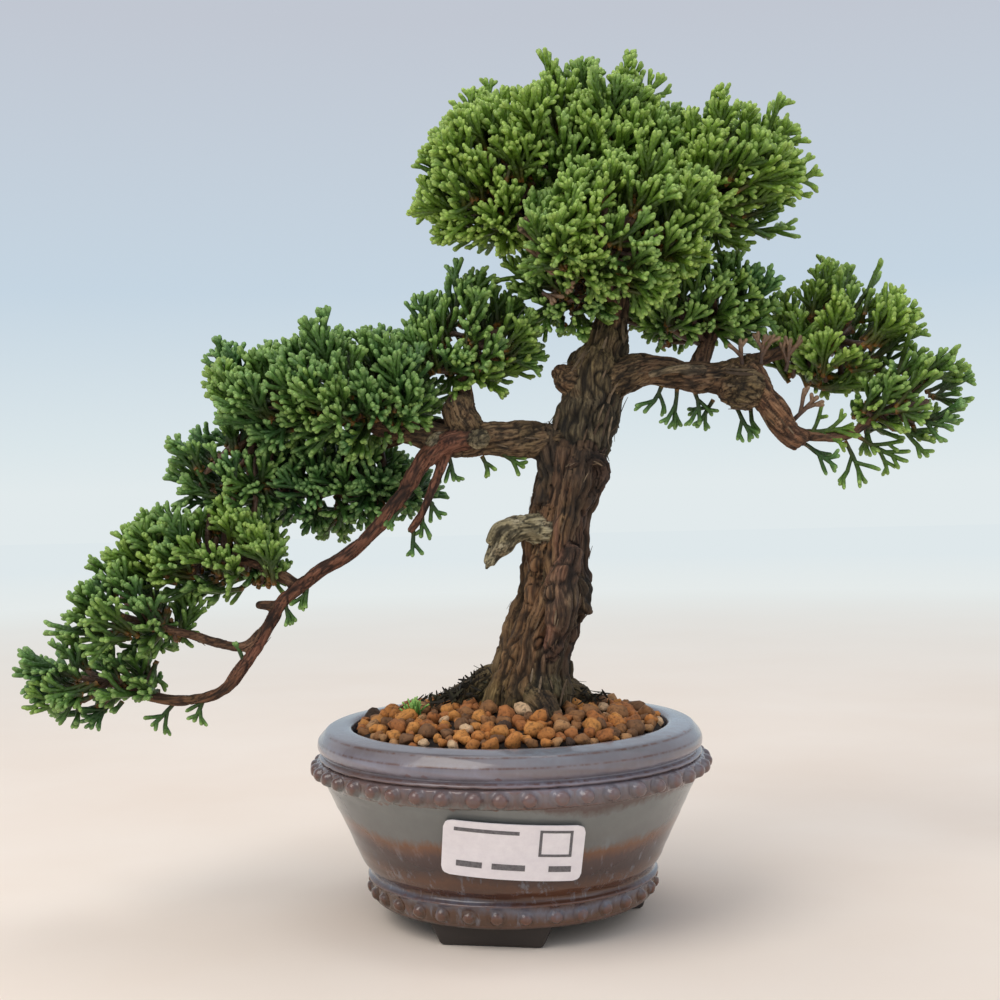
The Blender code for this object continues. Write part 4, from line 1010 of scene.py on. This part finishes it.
cord_tree, entry, leave = new_group("lay_cords", ("Sides", "NodeSocketInt"),
                                    ("Finish", "NodeSocketMaterial"))
line_up = node(cord_tree, "GeometryNodeMeshToCurve", {"Mesh": entry.outputs["Geometry"]})
girth = node(cord_tree, "GeometryNodeInputNamedAttribute", {"Name": "cord_radius"},
             data_type="FLOAT")
ring = node(cord_tree, "GeometryNodeCurvePrimitiveCircle", {
    "Resolution": entry.outputs["Sides"], "Radius": 1.0})
tube_made = node(cord_tree, "GeometryNodeCurveToMesh", {
    "Curve": line_up.outputs[0], "Profile Curve": ring.outputs[0], "Scale": girth.outputs[0],
    "Fill Caps": True})
round_made = node(cord_tree, "GeometryNodeSetShadeSmooth", {"Geometry": tube_made.outputs[0]})
real = node(cord_tree, "GeometryNodeRealizeInstances", {0: round_made.outputs[0]})
painted = node(cord_tree, "GeometryNodeSetMaterial", {
    "Geometry": real.outputs[0], "Material": entry.outputs["Finish"]})
cord_tree.links.new(painted.outputs[0], leave.inputs[0])

# Juniper green: matt waxy scales, yellow-green at the young tips, deep and
# bluish behind, orange-brown where a cord turns to wood, brown where it is dead.
scales, tree, shader = new_material("juniper_scales", Roughness=0.48, IOR=1.42)
run = node(tree, "ShaderNodeAttribute", attribute_name="run").outputs["Fac"]
hue = node(tree, "ShaderNodeAttribute", attribute_name="hue").outputs["Fac"]
place = node(tree, "ShaderNodeTexCoord").outputs["Object"]
warm = node(tree, "ShaderNodeValToRGB", {"Fac": run}, stops=[
    (0.0, "8a5a20"), (0.10, "4c4a16"), (0.40, "3f5414"), (0.78, "5f7f22"), (0.93, "80a238"),
    (1.0, "a8c45e")])
cool = node(tree, "ShaderNodeValToRGB", {"Fac": run}, stops=[
    (0.0, "7a5424"), (0.10, "303a16"), (0.40, "24401a"), (0.78, "375e2a"), (0.93, "527c3e"),
    (1.0, "80a660")])
wooden = node(tree, "ShaderNodeValToRGB", {"Fac": run}, stops=[
    (0.0, "43332a"), (0.5, "664c3a"), (1.0, "94775c")])
warmth = node(tree, "ShaderNodeMapRange", {"Value": hue, "From Min": 0.0, "From Max": 1.0})
coat = node(tree, "ShaderNodeMix", {0: warmth.outputs[0], 6: cool.outputs[0], 7: warm.outputs[0]},
            data_type="RGBA").outputs[2]
lifeless = node(tree, "ShaderNodeMapRange", {"Value": hue, "From Min": -0.4, "From Max": -0.6})
coat = node(tree, "ShaderNodeMix", {0: lifeless.outputs[0], 6: coat, 7: wooden.outputs[0]},
            data_type="RGBA").outputs[2]
# Painted shade in the creases between the scale leaves, and a little lighter on each scale's middle.
leafy = node(tree, "ShaderNodeTexVoronoi", {"Vector": place, "Scale": 1000.0, "Randomness": 0.8})
gap = node(tree, "ShaderNodeValToRGB", {"Fac": leafy.outputs["Distance"]},
           stops=[(0.25, 1.12), (0.62, 0.62)])
coat = node(tree, "ShaderNodeMix", {0: 0.75, 6: coat, 7: gap.outputs[0]}, data_type="RGBA",
            blend_type="MULTIPLY").outputs[2]
tree.links.new(coat, shader.inputs["Base Color"])
bump = node(tree, "ShaderNodeBump", {"Height": leafy.outputs["Distance"], "Strength": 0.8,
                                     "Distance": 0.0003}, invert=True)
tree.links.new(bump.outputs[0], shader.inputs["Normal"])

pad_at = {}
for name in PADS:
    low, high = (Vector(v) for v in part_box("foliage_" + name))
    pad_at[name] = ((low + high) / 2 / MM - AXIS / MM, (high - low) / 2 / MM)
twiggy = lines[(lines[:, 5] < 3.4)]
loose = {   # single sprays: start, direction, length, warmth
    "left_inner": [((-1, -6, 126), (0.5, 0, -0.5), 8, 0.5), ((-6, -5, 125), (0.3, 0.1, -0.8), 6, 0.6),
                   ((-15, -6, 125), (0.2, 0, -1), 7, 0.2)],
    "left_back": [((-22, -7, 112), (-0.1, 0, -1), 9, 0.2), ((-25, -7, 106), (0.2, 0, -1), 8, 0.1),
                  ((-21, -7, 114), (0.5, 0.1, -0.8), 7, 0.2), ((-27, -8, 112), (-0.7, 0, -0.6), 8, 0.2)],
    "right_inner": [((43, -6, 143), (-0.5, 0, -0.9), 9, 0.1), ((47, -7, 142), (-0.2, 0, -1), 11, 0.1),
                    ((52, -6, 141), (0.3, 0, -1), 9, 0.2), ((57, -5, 139), (-0.5, 0.1, -0.8), 9, 0.15),
                    ((63, -6, 137), (0.4, 0, -0.7), 10, 0.1), ((67, -5, 137), (0.1, 0, -1), 8, 0.3)],
    "right_tip": [((79, -9, 129), (1, -0.1, 0.25), 16, 0.8), ((80, -8, 127), (0.8, 0, -0.5), 12, 0.1),
                  ((92, -7, 127), (0.5, -0.1, -0.9), 13, 0.5), ((96, -6, 128), (0.8, 0, -0.5), 15, 0.6)],
    "cascade_upper": [((-60, -8, 87), (0.1, -0.2, -0.7), 7, 0.3), ((-53, -8, 92), (-0.3, -0.1, -1), 8, 0.3)],
    "cascade_tip": [((-82, -8, 62), (-0.3, 0, -1), 8, 0.3), ((-90, -7, 61), (-0.6, 0, -0.8), 10, 0.2),
                    ((-71, -8, 70), (-0.3, -0.2, 1), 7, 0.2)],
    "crown_front": [((8, -20, 172), (0.6, -0.3, 0.5), 7, -1), ((11, -19, 167), (0.4, -0.5, -0.3), 6, -1),
                    ((14, -20, 178), (0.8, -0.3, 0.2), 7, -1), ((17, -19, 171), (0.3, -0.6, -0.5), 6, -1),
                    ((11, -21, 174), (-0.3, -0.5, 0.4), 6, -1)],
    "right_outer": [((64, -11, 148), (-0.1, -0.2, 1), 7, -1), ((69, -11, 148), (0.2, -0.1, 1), 8, -1),
                    ((76, -9, 146), (0.3, -0.1, 1), 9, -1), ((78, -9, 133), (0.7, -0.2, 0.8), 9, -1)],
}
loose["crown_right"] = [
    ((dice.uniform(36, 48), dice.uniform(-12, 12), dice.uniform(198, 203)),
     (dice.gauss(0.1, 0.25), dice.gauss(0, 0.25), 1), dice.uniform(10, 14), 0.8) for k in range(22)]
total = 0
for name, (lean, area_each, warmth_of, finger) in PADS.items():
    centre, half = pad_at[name]
    lean = Vector(lean)
    open_list()
    skin = 4 * math.pi * (((half.x * half.y) ** 1.6 + (half.x * half.z) ** 1.6
                           + (half.y * half.z) ** 1.6) / 3) ** (1 / 1.6)
    tufts = []
    for tries in range(4000):
        u = Vector((dice.gauss(0, 1), dice.gauss(0, 1), dice.gauss(0, 1))).normalized()
        face = Vector((u.x * half.x, u.y * half.y, u.z * half.z)) * 0.90
        if all((face - other).length > TUFT_GAP * 0.72 for other, _ in tufts):
            tufts.append((face, u))
    each = max(2, round(1.25 * skin / area_each / len(tufts)))
    for face, u in tufts:
        swell = 1 + 0.30 * noise.noise((centre + face) / 11.0)
        face = face * swell * 1.03
        hidden = any(Vector((centre + face - c)[i] / h[i] for i in range(3)).length < 0.74
                     for other, (c, h) in pad_at.items() if other != name)
        if hidden and dice.random() < 0.85:
            continue
        outward = Vector((face.x / half.x ** 2, face.y / half.y ** 2,
                          face.z / half.z ** 2)).normalized()
        reach = min(17.0, face.length * 0.62)
        way = (outward + lean * 0.8 + Vector((0, 0, 0.22))).normalized()
        hub = centre + face - way * reach
        gaps = ((twiggy[:, 2:5] - np.array(hub)) ** 2).sum(1)
        joint = Vector(twiggy[gaps.argmin(), 2:5])
        reach_in = (hub - joint).length
        if reach_in < 45:
            cord(((hub - joint).normalized() + Vector((0, 0, -0.25))).normalized(), joint,
                 Vector((0, 0, 1.0)) + (hub - joint).normalized(), reach_in, 0.85,
                 (0.0, 0.6), -1.0, 3.2)
            gone = cords["at"][-1] - hub
            last = max(1, round(reach_in / 3.2)) + 1
            for k in range(last + 1):
                share = k / last
                cords["at"][-1 - last + k] = cords["at"][-1 - last + k] - gone * share
        shade = warmth_of + dice.gauss(0, 0.16)
        shoots = outward.z > 0.1 and dice.random() < 0.45
        under = outward.z < -0.45
        for k in range(each if not under else max(2, each - 2)):
            spread = Vector((dice.gauss(0, 1), dice.gauss(0, 1), dice.gauss(0, 1)))
            spread -= outward * spread.dot(outward)
            spread *= TUFT_GAP * (0.24 if shoots else 0.34)
            tip = centre + face + spread - outward * spread.length_squared * 0.022
            tip += outward * (dice.uniform(-3.4, 1.2) + (dice.uniform(1.5, 4.5) if dice.random() < 0.16 else 0))
            tip += Vector((0, 0, dice.uniform(0, 3.5) if shoots and name != "crown_top" else 0))
            at = hub + Vector((dice.gauss(0, 1), dice.gauss(0, 1), dice.gauss(0, 1))) * 1.2
            span = tip - at
            flat = span.cross(Vector((dice.gauss(0, 1), dice.gauss(0, 1), dice.gauss(0, 1))))
            spray(span.normalized(), at, flat.normalized(), lean + Vector((0, 0, 0.5)),
                  span.length, CORD, min(1.0, max(0.0, shade + dice.gauss(0, 0.10))), finger)
    for at, way, length, shade in loose.get(name, ()):
        way = Vector(way).normalized()
        flat = way.cross(Vector((dice.gauss(0, 0.3), 1, dice.gauss(0, 0.3)))).cross(way)
        spray(way, Vector(at), flat.normalized(), Vector((0, 0, 0.0)), length, CORD * 0.92,
              shade, finger)
    paths = bpy.data.meshes.new("cords_" + name)
    paths.from_pydata([tuple(p * MM + AXIS) for p in cords["at"]], cords["links"], [])
    for label, key in (("cord_radius", "thick"), ("run", "run"), ("hue", "hue")):
        values = np.array(cords[key]) * (MM if key == "thick" else 1)
        paths.attributes.new(label, "FLOAT", "POINT").data.foreach_set("value", values)
    leaves_mesh = grow("leaves_" + name, paths, cord_tree, {"Sides": 5, "Finish": scales})
    leaves = add_piece("leaves_" + name, leaves_mesh, None)
    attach(leaves, "root")
    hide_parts("foliage_" + name)
    leaves_mesh.calc_loop_triangles()
    total += len(leaves_mesh.loop_triangles)
    print("PAD", name, len(tufts), each, len(leaves_mesh.loop_triangles), flush=True)
print("LEAF TRIANGLES", total)

# Moss: one soft green shoot between the granules, a tuft of short pointed
# leaves made as the leafy cords are, only thinner.
low, high = (Vector(v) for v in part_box("moss_shoot"))
foot = (low + high) / 2 / MM - AXIS / MM
tall = (high.z - low.z) / MM
dice = random.Random(17)
open_list()
for k in range(34):
    way = Vector((dice.gauss(0, 0.5), dice.gauss(0, 0.5), 1)).normalized()
    at = Vector((foot.x + dice.gauss(0, 0.7), foot.y + dice.gauss(0, 0.7), low.z / MM - 0.4))
    cord(way, at, way * 0.4, tall * dice.uniform(0.6, 1.25), 0.26, (0.35, 1.0),
         dice.uniform(0.2, 0.5), 0.9)
tuft = bpy.data.meshes.new("moss_paths")
tuft.from_pydata([tuple(p * MM + AXIS) for p in cords["at"]], cords["links"], [])
for label, key in (("cord_radius", "thick"), ("run", "run"), ("hue", "hue")):
    values = np.array(cords[key]) * (MM if key == "thick" else 1)
    tuft.attributes.new(label, "FLOAT", "POINT").data.foreach_set("value", values)
moss_mat, tree, shader = new_material("moss_leaf", Roughness=0.7)
along = node(tree, "ShaderNodeAttribute", attribute_name="run").outputs["Fac"]
green = node(tree, "ShaderNodeValToRGB", {"Fac": along}, stops=[
    (0.3, "3f6a2c"), (0.7, "5c9440"), (1.0, "9cc86a")])
tree.links.new(green.outputs[0], shader.inputs["Base Color"])
moss = add_piece("moss_tuft", grow("moss_tuft", tuft, cord_tree, {"Sides": 4, "Finish": moss_mat}),
                 None)
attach(moss, "root")
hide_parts("moss_shoot")
